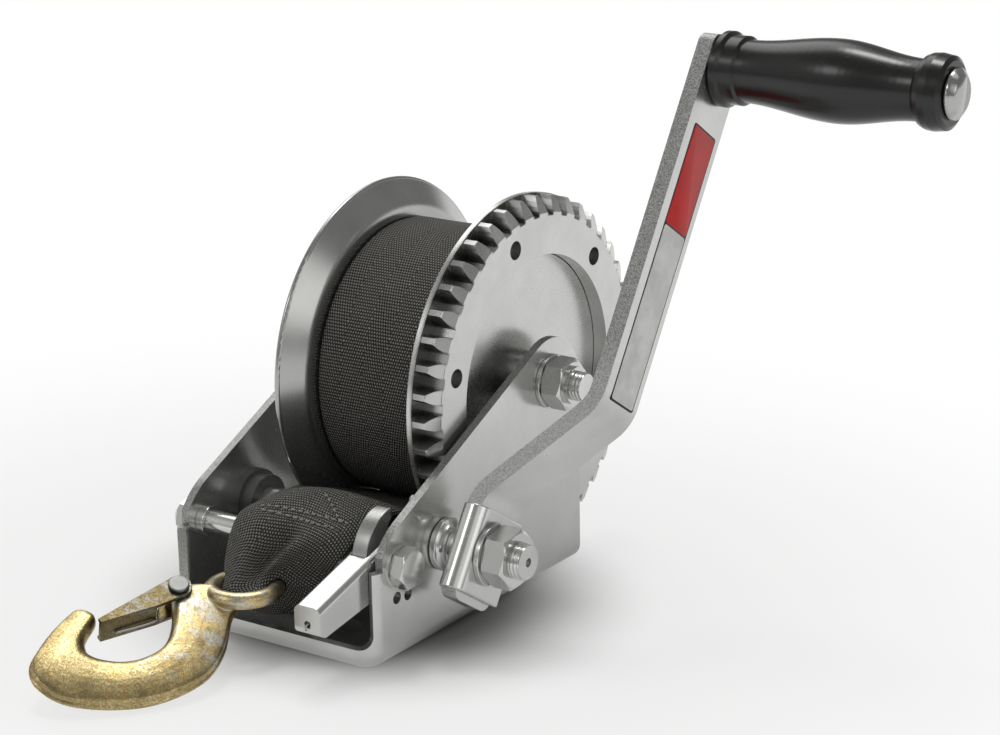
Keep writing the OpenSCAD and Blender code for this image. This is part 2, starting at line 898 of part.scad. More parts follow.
module pawl_lever() {
    mid_x = (lever_x0 + lever_x1) / 2;
    half = (lever_x1 - lever_x0) / 2;
    color(zinc)
        translate([0, tie[0], tie[1]])
            difference() {
                intersection() {
                    slab_x(lever_x0, lever_x1)
                        lever_outline();
                    lever_shell(mid_x, half, 2.6, 0);
                }
                difference() {
                    lever_shell(mid_x, half - lever_t, 0.8, lever_t);
                    translate([lever_x0, -lever_len - 10, -30])
                        cube([2 * half, 10 + lever_t + 1, 60]);
                }
                slab_x(lever_x0 + lever_t, lever_x1 - lever_t)
                    rect([-9.9, -8.6], [12, 12]);
                slab_x(lever_x0 - 1, lever_x1 + 1)
                    circle(tie_r + run_fit);
                translate([mid_x, -lever_len - 5, lever_hole_z])
                    rotate([-90, 0, 0])
                        cylinder(h = 12, r = 1.3);
            }
}

// Long body under the lever's top face, with both top edges rounded
module lever_shell(mid_x, half, r, drop) {
    translate([mid_x, -9, 4.8])
        rotate([lever_slope, 0, 0])
            translate([0, 30, -drop])
                rotate([90, 0, 0])
                    linear_extrude(90) {
                        rect([-half, -40], [half, -r]);
                        rect([-half + r, -r - 1], [half - r, 0]);
                        for (s = [-1, 1])
                            translate([s * (half - r), -r])
                                circle(r);
                    }
}

// Close-wound spring between the lever's front hole and the pawl
module pawl_spring() {
    thick = 0.9;
    coil_r = 2.1;
    coil_y = -lever_len + 8;
    coil_end = -15.8;
    mid_x = (lever_x0 + lever_x1) / 2;
    color(dark_zinc)
        translate([mid_x, tie[0], tie[1] + lever_hole_z]) {
            translate([0, coil_y, 0])
                rotate([-90, 0, 0])
                    rotate_extrude()
                        rect([coil_r - thick / 2, -thick / 2], [coil_r + thick / 2, coil_end - coil_y + thick / 2]);
            wire([[0, coil_y, coil_r], [0, coil_y - 2.5, 0.2], [0, -lever_len - 0.8, 0], [0, -lever_len - 1.1, -1.9]],
                thick / 2);
            wire([[0, coil_end, coil_r], [0, coil_end + 2, 0.3], [0, -8.4, 1.2], [0, -7.1, 3.5]], thick / 2);
        }
}

// ---- Strap tail ----

// Wide run over the shaft and the tie bolt, then a drop that narrows into the hook's eye
module strap_tail() {
    fold_y = tie[0] - 4;
    color(webbing)
        difference() {
            union() {
                slab_x(strap_x0, strap_x1)
                    intersection() {
                        tail_outline();
                        rect([fold_y, 0], [back_y, axle_z]);
                    }
                intersection() {
                    slab_x(strap_x0, strap_x1)
                        intersection() {
                            tail_outline();
                            rect([-plate_len, 0], [fold_y, axle_z]);
                        }
                    tail_taper();
                }
            }
            bar_x(eye_rear, strap_x0 - 1, strap_x1 + 1, eye_loop_r);
        }
}

// Run of the strap's middle line: under the roll, then up and over the drive shaft
function strap_run(lift) =
    let (
        roll = roll_r + end_play + strap_t / 2,
        wrap = shaft_r + lift,
        d = axle - shaft,
        a = asin((roll + wrap) / norm(d)) - atan2(d[1], d[0]))
    concat(
        [axle - roll * [sin(a), cos(a)]],
        [for (k = [3 : -1 : 0]) shaft + wrap * [sin(a * k / 3), cos(a * k / 3)]]);

// Side view, filled between the strap's lower run and its sewn upper fold
module tail_outline() {
    lift = strap_t / 2 + 0.2;
    over_shaft = shaft + [0, shaft_r + lift];
    over_tie = tie + [0, tie_r + lift];
    strip(concat(strap_run(lift), [over_tie + [1, 0]]), strap_t);
    top = [
        over_shaft + [14, -4.1], over_shaft + [0, 3.5], over_tie + [14, 10.5], over_tie + [3, 11],
        over_tie + [-6, 4.5], over_tie + [-12.5, -7], eye_rear + [-eye_loop_r - 2 * strap_t, 1],
        eye_rear + [-eye_loop_r + 1, -7.2], eye_rear + [0, -eye_loop_r - 2 * strap_t]];
    low = [
        eye_rear + [eye_loop_r + 0.6, -3.6], eye_rear + [eye_loop_r + strap_t, 4],
        over_tie + [-4.9, -4.2], over_tie + [-3, -0.4], over_tie + [0, -0.9]];
    steps = 3;
    polygon(concat(
        [for (k = [0 : (len(top) - 1) * steps]) spline(top, k / steps)],
        low,
        [over_shaft]));
}

// Front view: full width above, gathered to the eye's width below
module tail_taper() {
    mid = eye_at[0];
    top_z = tie[1] + 13;
    loop_z = eye_rear[1] + 3.6;
    neck_z = eye_rear[1] + 9;
    translate([0, back_y, 0])
        rotate([90, 0, 0])
            linear_extrude(2 * plate_len)
                polygon([
                    [strap_x0, axle_z], [strap_x0, top_z], [mid - loop_w * 0.9, neck_z],
                    [mid - loop_w / 2, loop_z], [mid - loop_w / 2, 0],
                    [mid + loop_w / 2, 0], [mid + loop_w / 2, loop_z],
                    [mid + loop_w * 0.9, neck_z], [strap_x1, top_z], [strap_x1, axle_z]]);
}

// ---- Hook ----

// Everything on the hook is drawn in its own plane: u forward from the eye, v across, n through it
module on_hook() {
    translate(hook_at)
        rotate(hook_turn)
            children();
}

// Outer and inner edge of the forged body, from the eye round the bowl to the tip
outer_edge = [
    [5, 7], [10.5, 10.5], [19.5, 20.5], [30, 27], [42, 28.2], [54, 26], [66, 20], [76, 11.5], [80, 2],
    [78, -5.8], [70.5, -11.2], [63, -14], [56, -16.4]];
inner_edge = [
    [9, -6], [15.5, -9.5], [22.8, -6.4], [28.5, 2], [36, 9.2], [44.5, 10.5], [51.5, 8.5], [57, 4], [59.3, 0],
    [58.8, -3], [57, -6], [54.8, -8], [52.3, -10.2]];
half_thick = [3.2, 3.4, 3.9, 4.4, 4.5, 4.5, 4.5, 4.5, 4.4, 4.2, 3.9, 3.6, 3.0];

// Smooth value at position t along a list of points
function spline(p, t) =
    let (
        n = len(p) - 1,
        i = min(floor(t), n - 1),
        f = t - i,
        a = p[max(i - 1, 0)],
        b = p[i],
        c = p[i + 1],
        d = p[min(i + 2, n)])
    0.5 * ((2 * b) + (c - a) * f + (2 * a - 5 * b + 4 * c - d) * f * f + (3 * b - a - 3 * c + d) * f * f * f);

// Forged section: a flattened round, thinner towards both edges
function forged_ring(o, i, h, sides) =
    let (mid = (o + i) / 2, half = (o - i) / 2)
    [for (k = [0 : sides - 1])
        let (
            a = 360 * k / sides,
            c = cos(a),
            s = sin(a),
            across = sign(c) * pow(abs(c), 0.8),
            up = sign(s) * pow(abs(s), 0.8))
        [mid[0] + half[0] * across, mid[1] + half[1] * across, h * up]];

module forged_body() {
    sides = 16;
    per = 3;
    last = (len(outer_edge) - 1) * per;
    scale_t = hook_t / 9;
    rings = [
        for (k = [0 : last])
            let (t = k / per)
            forged_ring(spline(outer_edge, t), spline(inner_edge, t), spline(half_thick, t) * scale_t, sides)];
    polyhedron(
        points = concat([for (r = rings) each r], [middle(rings[0]), middle(rings[last])]),
        faces = [
            for (k = [0 : sides - 1])
                let (m = (k + 1) % sides)
                each concat(
                    [[k, m, (last + 1) * sides], [last * sides + m, last * sides + k, (last + 1) * sides + 1]],
                    [for (r = [0 : last - 1]) each [
                        [r * sides + m, r * sides + k, (r + 1) * sides + m],
                        [r * sides + k, (r + 1) * sides + k, (r + 1) * sides + m]]])]);
}

function middle(ring) = (ring[0] + ring[len(ring) / 2]) / 2;

module hook() {
    color(yellow_zinc)
        union() {
            translate(eye_at)
                rotate_extrude()
                    translate([eye_r, 0])
                        circle(eye_bar_r, $fn = 32);
            on_hook() {
                forged_body();
                translate([latch_at[0], latch_at[1], -lug_t / 2])
                    cylinder(h = lug_t, r = ear_r);
            }
        }
}

module latch_rivet() {
    reach = lug_t / 2 + end_play + latch_t + 0.1;
    color(zinc)
        on_hook()
            translate([latch_at[0], latch_at[1], 0])
                for (s = [0, 1])
                    mirror([0, 0, s]) {
                        translate([0, 0, lug_t / 2])
                            cylinder(h = reach - lug_t / 2, r = latch_pin_r);
                        translate([0, 0, reach])
                            cylinder(h = 1.6, r = latch_pin_r + 1.6);
                    }
}

// Folded channel: ears beside the lug, a web across the hook's mouth
module hook_latch() {
    ear_z = lug_t / 2 + end_play;
    color(yellow_zinc)
        on_hook()
            translate([latch_at[0], latch_at[1], 0])
                difference() {
                    union() {
                        for (z = [-ear_z - latch_t, ear_z])
                            translate([0, 0, z])
                                linear_extrude(latch_t)
                                    latch_side();
                        translate([0, 0, -ear_z])
                            linear_extrude(2 * ear_z)
                                polygon([web_start, web_end, web_end - [0, latch_t], web_start - [0, latch_t]]);
                    }
                    translate([0, 0, -2 * lug_t])
                        cylinder(h = 4 * lug_t, r = latch_pin_r + run_fit);
                }
}

module latch_side() {
    circle(ear_r);
    polygon([[-0.5, 4.5], web_start, web_end, web_end - [0, latch_t + 0.6], [1, -4.4]]);
}

// Bent wire: straight bars joined by balls
module wire(path, r) {
    for (i = [0 : len(path) - 2])
        let (d = path[i + 1] - path[i])
        translate(path[i])
            rotate([0, acos(d[2] / norm(d)), atan2(d[1], d[0])]) {
                cylinder(h = norm(d), r = r);
                if (i > 0)
                    sphere(r = r * 1.01);
            }
}

// Wire that lies along the web and hooks round the gap beside the lug
module latch_spring() {
    r = 0.5;
    a = web_start + (web_end - web_start) * 0.75 + [0, r + 0.15];
    b = web_start + [0.2, r + 0.25];
    color(dark_zinc)
        on_hook()
            translate([latch_at[0], latch_at[1], -1.6])
                wire([
                    [a[0], a[1], 0], [b[0], b[1], 0], [9, 3.1, 0], [7.6, -0.4, 0], [8.4, -2.8, 0]], r);
}

// ---- Assembly ----

frame();
left_flange();
drum_core();
drum_hub();
gear_flange();
gear_ring();
wound_strap();
axle_bolt();
axle_washers();
axle_nut();
drive_shaft();
pinion();
left_shaft_bush();
right_shaft_bush();
shaft_clip();
spool_bush();
crank_socket();
crank_arm();
crank_washer();
crank_nut();
grip();
grip_rivet();
tie_bolt();
tie_collar();
tie_nut();
pawl();
pawl_lever();
pawl_spring();
strap_tail();
hook();
hook_latch();
latch_rivet();
latch_spring();
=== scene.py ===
"""Looks for the boat trailer winch: plated steel, webbing, plastic and a plated snap hook."""

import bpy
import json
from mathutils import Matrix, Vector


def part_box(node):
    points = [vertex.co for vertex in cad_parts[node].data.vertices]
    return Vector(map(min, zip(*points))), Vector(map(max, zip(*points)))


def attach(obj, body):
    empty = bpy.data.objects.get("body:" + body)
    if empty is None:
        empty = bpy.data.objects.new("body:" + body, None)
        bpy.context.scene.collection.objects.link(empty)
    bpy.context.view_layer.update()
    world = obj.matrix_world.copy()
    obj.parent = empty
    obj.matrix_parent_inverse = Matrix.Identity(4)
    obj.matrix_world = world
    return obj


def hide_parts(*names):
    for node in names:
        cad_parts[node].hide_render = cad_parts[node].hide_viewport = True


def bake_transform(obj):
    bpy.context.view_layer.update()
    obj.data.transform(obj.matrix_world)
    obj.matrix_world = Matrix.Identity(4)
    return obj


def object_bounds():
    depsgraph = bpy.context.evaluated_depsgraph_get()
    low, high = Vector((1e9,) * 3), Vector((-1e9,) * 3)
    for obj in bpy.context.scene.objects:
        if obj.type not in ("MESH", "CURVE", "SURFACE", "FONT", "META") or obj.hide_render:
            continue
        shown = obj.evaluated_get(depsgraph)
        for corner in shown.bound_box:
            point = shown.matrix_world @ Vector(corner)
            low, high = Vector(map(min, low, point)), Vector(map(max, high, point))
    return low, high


bl_info = {
    "name": "Boat Trailer Winch Looks",
    "version": (1, 0, 0),
    "blender": (4, 5, 0),
    "location": "View3D > Sidebar > Winch",
    "description": "Dresses the hand winch with its metal, webbing and plastic finishes",
    "category": "Object",
}

import json
import math

import bmesh
import bpy
from bpy.props import FloatProperty, FloatVectorProperty, PointerProperty
from mathutils import Euler, Matrix, Vector

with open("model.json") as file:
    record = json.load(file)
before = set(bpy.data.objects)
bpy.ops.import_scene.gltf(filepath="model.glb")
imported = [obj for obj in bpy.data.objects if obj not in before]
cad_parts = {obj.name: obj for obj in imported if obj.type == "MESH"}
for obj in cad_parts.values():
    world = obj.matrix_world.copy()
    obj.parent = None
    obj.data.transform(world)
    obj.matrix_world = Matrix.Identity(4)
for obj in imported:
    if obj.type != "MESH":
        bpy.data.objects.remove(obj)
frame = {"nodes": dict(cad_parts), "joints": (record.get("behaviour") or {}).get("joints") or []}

MM = 0.001
NODES = frame["nodes"]
PIVOT = {j["name"]: Vector(j.get("pos_m", (0, 0, 0))) for j in frame["joints"]}
AXLE = PIVOT["drum_spin"]
SHAFT = PIVOT["crank_spin"]
GRIP = PIVOT["grip_spin"]
CAD_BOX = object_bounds()
CRANK_LEAN = math.radians(33.3)  # the crank bar's lean back from upright
TEETH = 42  # on the gear ring
PITCH = 1.5  # of both screw threads, in millimetres
EYE_AT = Vector((-5.6, -72.2, 23)) * MM  # middle of the hook's ring eye
EYE_RADIUS = 11.2 * MM  # to the middle of its bar


# ---- Shader values ----


class Value:
    """A shader socket that takes part in Python expressions."""

    def __init__(self, finish, socket):
        self.finish = finish
        self.socket = socket

    def _math(self, operation, *values):
        return self.finish.node("ShaderNodeMath", {"operation": operation}, dict(enumerate(values)))

    def __add__(self, other):
        return self._math("ADD", self, other)

    def __radd__(self, other):
        return self._math("ADD", other, self)

    def __sub__(self, other):
        return self._math("SUBTRACT", self, other)

    def __rsub__(self, other):
        return self._math("SUBTRACT", other, self)

    def __mul__(self, other):
        return self._math("MULTIPLY", self, other)

    def __rmul__(self, other):
        return self._math("MULTIPLY", other, self)

    def __truediv__(self, other):
        return self._math("DIVIDE", self, other)

    def __pow__(self, other):
        return self._math("POWER", self, other)

    def __abs__(self):
        return self._math("ABSOLUTE", self)

    def floor(self):
        return self._math("FLOOR", self)

    def fraction(self):
        return self._math("FRACT", self)

    def there_and_back(self, length):
        """Rises to length and falls again, over and over."""
        return self._math("PINGPONG", self, length)

    def least(self, other):
        return self._math("MINIMUM", self, other)

    def most(self, other):
        return self._math("MAXIMUM", self, other)

    def ramp(self, low, high):
        """Smooth step from 0 at low to 1 at high."""
        values = {"Value": self, "From Min": low, "From Max": high}
        return self.finish.node("ShaderNodeMapRange", {"interpolation_type": "SMOOTHSTEP"}, values)


class Finish:
    """A material, or the world, whose nodes are made from Python expressions."""

    def __init__(self, name, owner=None, shader="Principled BSDF"):
        self.material = owner or bpy.data.materials.new(name)
        self.material.use_nodes = True
        self.tree = self.material.node_tree
        self.shader = self.tree.nodes[shader]

    def node(self, kind, settings=None, inputs=None, output=0):
        """Adds a node with its settings, feeds its inputs and hands back one output."""
        made = self.tree.nodes.new(kind)
        for key, value in (settings or {}).items():
            setattr(made, key, value)
        for key, value in (inputs or {}).items():
            self._feed(made.inputs[key], value)
        return Value(self, made.outputs[output])

    def _feed(self, socket, value):
        if isinstance(value, Value):
            self.tree.links.new(value.socket, socket)
        elif socket.type == "RGBA" and len(value) == 3:
            socket.default_value = (*value, 1)
        else:
            socket.default_value = value

    def place(self, which="Object"):
        """Where a point lies on the object, in metres, or its place on an unrolled piece with UV."""
        return self.node("ShaderNodeTexCoord", output=which)

    def parts(self, vector):
        """X, Y and Z of a vector."""
        split = self.tree.nodes.new("ShaderNodeSeparateXYZ")
        self._feed(split.inputs[0], vector)
        return [Value(self, s) for s in split.outputs]

    def joined(self, x, y, z):
        """Vector from three values."""
        return self.node("ShaderNodeCombineXYZ", None, {0: x, 1: y, 2: z})

    def facing(self):
        """The surface's true normal."""
        return self.node("ShaderNodeNewGeometry", output="True Normal")

    def noise(self, where, scale, detail=2.0, roughness=0.5):
        values = {"Vector": where, "Scale": scale, "Detail": detail, "Roughness": roughness}
        return self.node("ShaderNodeTexNoise", None, values)

    def stretched(self, where, scale):
        return self.node("ShaderNodeVectorMath", {"operation": "MULTIPLY"}, {0: where, 1: scale})

    def mixed(self, share, low, high):
        """Colour from low to high by share."""
        made = self.tree.nodes.new("ShaderNodeMix")
        made.data_type = "RGBA"
        for socket, value in zip([made.inputs[0], made.inputs[6], made.inputs[7]], [share, low, high]):
            self._feed(socket, value)
        return Value(self, made.outputs[2])

    def bump(self, height, depth, under=None):
        """Normal of a relief of that depth, laid over another one if under is given."""
        values = {"Height": height, "Distance": depth, "Strength": 1.0}
        if under is not None:
            values["Normal"] = under
        return self.node("ShaderNodeBump", None, values)

    def set(self, **values):
        """Feeds the shader's inputs, named with _ for a space."""
        for key, value in values.items():
            self._feed(self.shader.inputs[key.replace("_", " ")], value)
        return self.material


def colour_value(colour):
    """Red, green and blue of a setting."""
    return tuple(colour)[:3]


# ---- Settings ----


class WinchSettings(bpy.types.PropertyGroup):
    """Colours and finish of the winch."""

    zinc: FloatVectorProperty(
        name="Zinc", description="Colour of the clear zinc plating", subtype="COLOR",
        size=3, min=0, max=1, default=(0.60, 0.605, 0.59))
    dark_zinc: FloatVectorProperty(
        name="Dark zinc", description="Colour of the duller plating on small parts", subtype="COLOR",
        size=3, min=0, max=1, default=(0.42, 0.42, 0.41))
    yellow_zinc: FloatVectorProperty(
        name="Yellow zinc", description="Colour of the hook's yellow plating", subtype="COLOR",
        size=3, min=0, max=1, default=(0.62, 0.49, 0.24))
    plastic: FloatVectorProperty(
        name="Plastic", description="Colour of the grip and the bushes", subtype="COLOR",
        size=3, min=0, max=1, default=(0.010, 0.010, 0.0095))
    webbing: FloatVectorProperty(
        name="Webbing", description="Colour of the strap", subtype="COLOR",
        size=3, min=0, max=1, default=(0.074, 0.072, 0.067))
    yarn: FloatProperty(
        name="Yarn", description="Distance from one yarn of the strap to the next",
        subtype="DISTANCE", unit="LENGTH", default=1.08 * MM, min=0.5 * MM, max=2 * MM)
    panel_red: FloatVectorProperty(
        name="Panel red", description="Colour of the red block on the crank", subtype="COLOR",
        size=3, min=0, max=1, default=(0.66, 0.022, 0.020))
    panel_pale: FloatVectorProperty(
        name="Panel pale", description="Colour of the pale block on the crank", subtype="COLOR",
        size=3, min=0, max=1, default=(0.80, 0.81, 0.79))


def settings():
    """The scene's winch settings."""
    return bpy.context.scene.winch


# ---- Finishes ----


def plated(name, tint, shine, grain=0.012, cut=None):
    """Clear zinc on rolled steel: cloudy, finely grained, with a few dark specks and hairlines.

    grain is the relief's depth in millimetres; cut finds the sheared or rolled edges, where the skin is
    coarse and duller."""
    f = Finish(name)
    where = f.place()
    clouds = f.noise(where, 34, 4, 0.6)
    fine = f.noise(where, 1500, 3, 0.6)
    waves = f.noise(where, 90, 2, 0.5)
    spots = f.noise(where, 560, 2, 0.6).ramp(0.70, 0.80) * 0.5
    hair = f.noise(f.stretched(where, (260, 2600, 420)), 1, 2, 0.5).ramp(0.66, 0.72) * 0.5
    tone = f.mixed(clouds.ramp(0.3, 0.7), [c * 0.94 for c in tint], [c * 1.06 for c in tint])
    tone = f.mixed((spots * 0.45).least(1), tone, [c * 0.45 for c in tint])
    rough = clouds * 0.10 + fine * 0.05 + spots * 0.25 + hair * 0.06 + (shine - 0.07)
    height = fine * 0.6 + waves * 1.2 - spots * 1.5 - hair * 0.8
    if cut:
        edge = cut(f)
        coarse = f.noise(where, 2000, 3, 0.75)
        grit = f.mixed(coarse.ramp(0.36, 0.64), [c * 0.26 for c in tint], [c * 0.80 for c in tint])
        tone = f.mixed(edge, tone, grit)
        rough = rough + edge * 0.24
        height = height + coarse * edge * 6
    return f.set(
        Base_Color=tone, Metallic=0.86, Roughness=rough.most(0.05),
        Normal=f.bump(height, grain * MM))


def sheet_edges(f):
    """Sheared edges of the upright side plates."""
    x, _, _ = f.parts(f.facing())
    _, _, z = f.parts(f.place())
    return (1 - abs(x).ramp(0.4, 0.8)) * z.ramp(11 * MM, 14 * MM)


def bar_edges(f):
    """The crank bar's two narrow sides, with a little less of the coarse grit towards the shaft."""
    _, y, z = f.parts(f.facing())
    _, _, high = f.parts(f.place())
    side = abs(y * math.cos(CRANK_LEAN) - z * math.sin(CRANK_LEAN)).ramp(0.55, 0.85)
    return side * (high.ramp(85 * MM, 115 * MM) * 0.2 + 0.8)


def turned(name, tint, shine, centre, dome=0, shaded=None):
    """Zinc over a spun or turned surface, with faint rings about an axis along X.

    dome bulges a flat end; shaded finds where neighbouring pieces keep the light out."""
    f = Finish(name)
    where = f.place()
    x, y, z = f.parts(where)
    dy, dz = y - centre[1], z - centre[2]
    ring = (dy * dy + dz * dz) ** 0.5
    lines = f.noise(f.joined(ring * 2600, 0, 0), 1, 2, 0.6)
    clouds = f.noise(where, 40, 4, 0.6)
    fine = f.noise(where, 1700, 3, 0.6)
    tone = f.mixed(clouds.ramp(0.3, 0.7), [c * 0.92 for c in tint], [c * 1.05 for c in tint])
    if shaded:
        tone = f.mixed(shaded(f, x, dy, dz, ring), tone, [c * 0.16 for c in tint])
    rough = clouds * 0.12 + fine * 0.08 + (shine - 0.09)
    form = f.bump(ring * ring * -dome, 1.0) if dome else None
    return f.set(
        Base_Color=tone, Metallic=0.93, Roughness=rough,
        Normal=f.bump(lines * 0.5 + fine * 0.5, 0.008 * MM, form))


def black_plastic(name, tint):
    """Moulded black plastic with a fine eggshell skin, rubbed in places."""
    f = Finish(name)
    where = f.place()
    skin = f.noise(where, 1500, 3, 0.65)
    scuffs = f.noise(where, 120, 4, 0.7).ramp(0.55, 0.8)
    nicks = f.noise(f.stretched(where, (500, 1900, 1900)), 1, 2, 0.6).ramp(0.70, 0.76)
    tone = f.mixed((scuffs * 0.4 + nicks * 0.6).least(1), tint, [c * 2.2 + 0.004 for c in tint])
    return f.set(
        Base_Color=tone, Roughness=skin * 0.10 + scuffs * 0.08 + nicks * 0.15 + 0.19,
        Specular_IOR_Level=0.48, Normal=f.bump(skin + nicks * 0.4, 0.014 * MM))


def webbing(name, tint, yarn):
    """Herringbone weave: oval floats in rows, each row a third of a yarn along, turning back every nine; its
    tone holds painted shade in the gaps between floats and a painted highlight on one leaning side of each
    float.

    yarn is the distance from one yarn to the next."""
    f = Finish(name)
    across, along, _ = f.parts(f.place("UV"))
    row = along / (yarn * 1.1)
    column = across.there_and_back(yarn * 9) / yarn - row.floor() / 3
    side = column.fraction() - 0.5
    rise = row.fraction() - 0.5
    oval = (1 - side * side * 5.5 - rise * rise * 5).most(0)
    lean = side * 0.9 + 0.5
    fuzz = f.noise(f.place(), 2600, 2, 0.6)
    wear = f.noise(f.place(), 70, 3, 0.6)
    # lit is painted light: floats lighter than the gaps, which get painted shade, and lighter still on their
    # leaning side as a painted highlight; fuzz and wear are the yarn's own variation
    lit = (oval * (lean * 0.5 + 0.6) + fuzz * 0.16 + wear * 0.12 - 0.1).most(0).least(1)
    tone = f.mixed(lit, [c * 0.12 for c in tint], [c * 4.6 for c in tint])
    return f.set(
        Base_Color=tone, Roughness=0.64 - oval * 0.2 + wear * 0.1, Specular_IOR_Level=0.15,
        Normal=f.bump(oval + lean * oval * 0.5 + fuzz * 0.15, 0.34 * MM))


def thread_yarn(name, tint):
    """Twisted sewing thread."""
    f = Finish(name)
    fuzz = f.noise(f.place(), 3200, 2, 0.6)
    tone = f.mixed(fuzz, [c * 2.0 for c in tint], [c * 4.6 for c in tint])
    return f.set(
        Base_Color=tone, Roughness=0.45 + fuzz * 0.2, Specular_IOR_Level=0.3,
        Normal=f.bump(fuzz, 0.1 * MM))


def film(name, tint, shine):
    """Printed film on the crank, with fine scuffs along its length."""
    f = Finish(name)
    scuffs = f.noise(f.stretched(f.place(), (300, 2400, 700)), 1, 3, 0.6)
    soft = f.noise(f.place(), 90, 3, 0.6)
    tone = f.mixed(soft.ramp(0.3, 0.7), [c * 0.86 for c in tint], [min(1, c * 1.08) for c in tint])
    tone = f.mixed(scuffs.ramp(0.60, 0.75) * 0.4, tone, [min(1, c * 1.3 + 0.06) for c in tint])
    return f.set(
        Base_Color=tone, Roughness=scuffs * 0.15 + soft * 0.1 + shine, Specular_IOR_Level=0.25,
        Normal=f.bump(soft, 0.02 * MM))


def mottled_hook(name, tint, shine=0.22, pale=0.56):
    """Yellow zinc over a forged skin: blotches from straw to a pale grey, finely pitted.

    pale is the grey's lightness; there is more grey and less pitting towards the eye."""
    f = Finish(name)
    where = f.place()
    _, y, _ = f.parts(where)
    worn = ((y + 112 * MM) * 4).least(0.08)
    blotch = f.noise(where, 75, 5, 0.65)
    pits = f.noise(where, 1300, 4, 0.75)
    grey = (f.noise(where, 190, 6, 0.7) + worn).ramp(0.50, 0.66)
    gold = f.noise(where, 240, 4, 0.6).ramp(0.50, 0.70)
    straw = f.mixed(blotch.ramp(0.34, 0.66), [c * 0.56 for c in tint], [min(1, c * 1.22) for c in tint])
    tone = f.mixed(gold * 0.5, straw, (tint[0] * 1.1, tint[1] * 0.92, tint[2] * 0.55))
    tone = f.mixed(grey * 0.75, tone, (pale, pale, pale * 0.96))
    tone = f.mixed((pits - worn * 0.5).ramp(0.44, 0.61) * 0.62, tone, [c * 0.27 for c in tint])
    return f.set(
        Base_Color=tone, Metallic=1.0, Roughness=pits * 0.26 + blotch * 0.14 + shine - 0.08,
        Normal=f.bump(pits + blotch * 2, 0.07 * MM))


# ---- Shapes ----


def dress(node, finish):
    """Gives a carried-over node its finish."""
    data = NODES[node].data
    data.materials.clear()
    data.materials.append(finish)


def soften(node, width, segments=2):
    """Rounds a node's sharp edges by width in millimetres, so that they catch the light."""
    piece = NODES[node]
    weld = piece.modifiers.new("Weld", "WELD")
    weld.merge_threshold = 0.002 * MM
    flat = piece.modifiers.new("Flat faces", "DECIMATE")
    flat.decimate_type = "DISSOLVE"
    flat.angle_limit = math.radians(0.6)
    edge = piece.modifiers.new("Round edges", "BEVEL")
    edge.width = width * MM
    edge.segments = segments
    edge.limit_method = "ANGLE"
    edge.angle_limit = math.radians(30)
    edge.harden_normals = True
    edge.use_clamp_overlap = True
    even = piece.modifiers.new("Even shading", "WEIGHTED_NORMAL")
    even.keep_sharp = True


def rim_point(centre, x, r, a):
    """Point at angle a round an axis along X through centre, with x and r in millimetres."""
    return x * MM, centre[1] + r * MM * math.cos(a), centre[2] + r * MM * math.sin(a)


def skin(made, rings, start=True, end=True):
    """Joins rings of points into a tube, with a flat face on the ends that have one."""
    sides = len(rings[0])
    for a, b in zip(rings, rings[1:]):
        for k in range(sides):
            made.faces.new([a[k], a[(k + 1) % sides], b[(k + 1) % sides], b[k]])
    if start:
        made.faces.new(rings[0][::-1])
    if end:
        made.faces.new(rings[-1])


def bead(made, place, sides=10, rows=6):
    """Adds a small ball that place moves and stretches, with its poles along its own Z."""
    angles = [math.pi / 2 + 2 * math.pi * k / sides for k in range(sides)]
    rings = []
    for i in range(1, rows):
        r, z = math.sin(math.pi * i / rows), -math.cos(math.pi * i / rows)
        rings.append([made.verts.new(place @ Vector((r * math.cos(a), r * math.sin(a), z))) for a in angles])
    skin(made, rings, False, False)
    for z, ring in ((-1, rings[0][::-1]), (1, rings[-1])):
        pole = made.verts.new(place @ Vector((0, 0, z)))
        for k in range(sides):
            made.faces.new([pole, ring[k], ring[(k + 1) % sides]])


def lathe(name, profile, centre, finish, steps, body):
    """Turns an open profile of (x, radius) points about an axis along X through centre, in millimetres."""
    made = bmesh.new()
    angles = [2 * math.pi * k / steps for k in range(steps)]
    rings = [[made.verts.new(rim_point(centre, x, r, a)) for a in angles] for x, r in profile]
    skin(made, rings, False, False)
    bmesh.ops.recalc_face_normals(made, faces=made.faces)
    return piece_from(name, made, finish, body)


def piece_from(name, made, finish, body=None, smooth=True):
    """Turns mesh data into a named piece that rides on a body."""
    data = bpy.data.meshes.new(name)
    made.to_mesh(data)
    made.free()
    data.materials.append(finish)
    for face in data.polygons:
        face.use_smooth = smooth
    piece = bpy.data.objects.new(name, data)
    bpy.context.scene.collection.objects.link(piece)
    if body:
        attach(piece, body)
    return piece


def bake(piece):
    """Applies a piece's modifiers to its mesh."""
    shaped = piece.evaluated_get(bpy.context.evaluated_depsgraph_get())
    data = bpy.data.meshes.new_from_object(shaped)
    piece.modifiers.clear()
    piece.data = data


def sharpen(piece, angle=35):
    """Keeps edges crisp where the surface turns by more than angle."""
    made = bmesh.new()
    made.from_mesh(piece.data)
    limit = math.radians(angle)
    for edge in made.edges:
        if len(edge.link_faces) == 2 and edge.calc_face_angle() > limit:
            edge.smooth = False
    made.to_mesh(piece.data)
    made.free()


def crank_point(up, across, x):
    """Point on the crank: up the bar from the shaft, across it towards the back, and out along X."""
    back, high = math.sin(CRANK_LEAN), math.cos(CRANK_LEAN)
    y, z = up * back + across * high, up * high - across * back
    return SHAFT + Vector((x * MM - SHAFT.x, y * MM, z * MM))


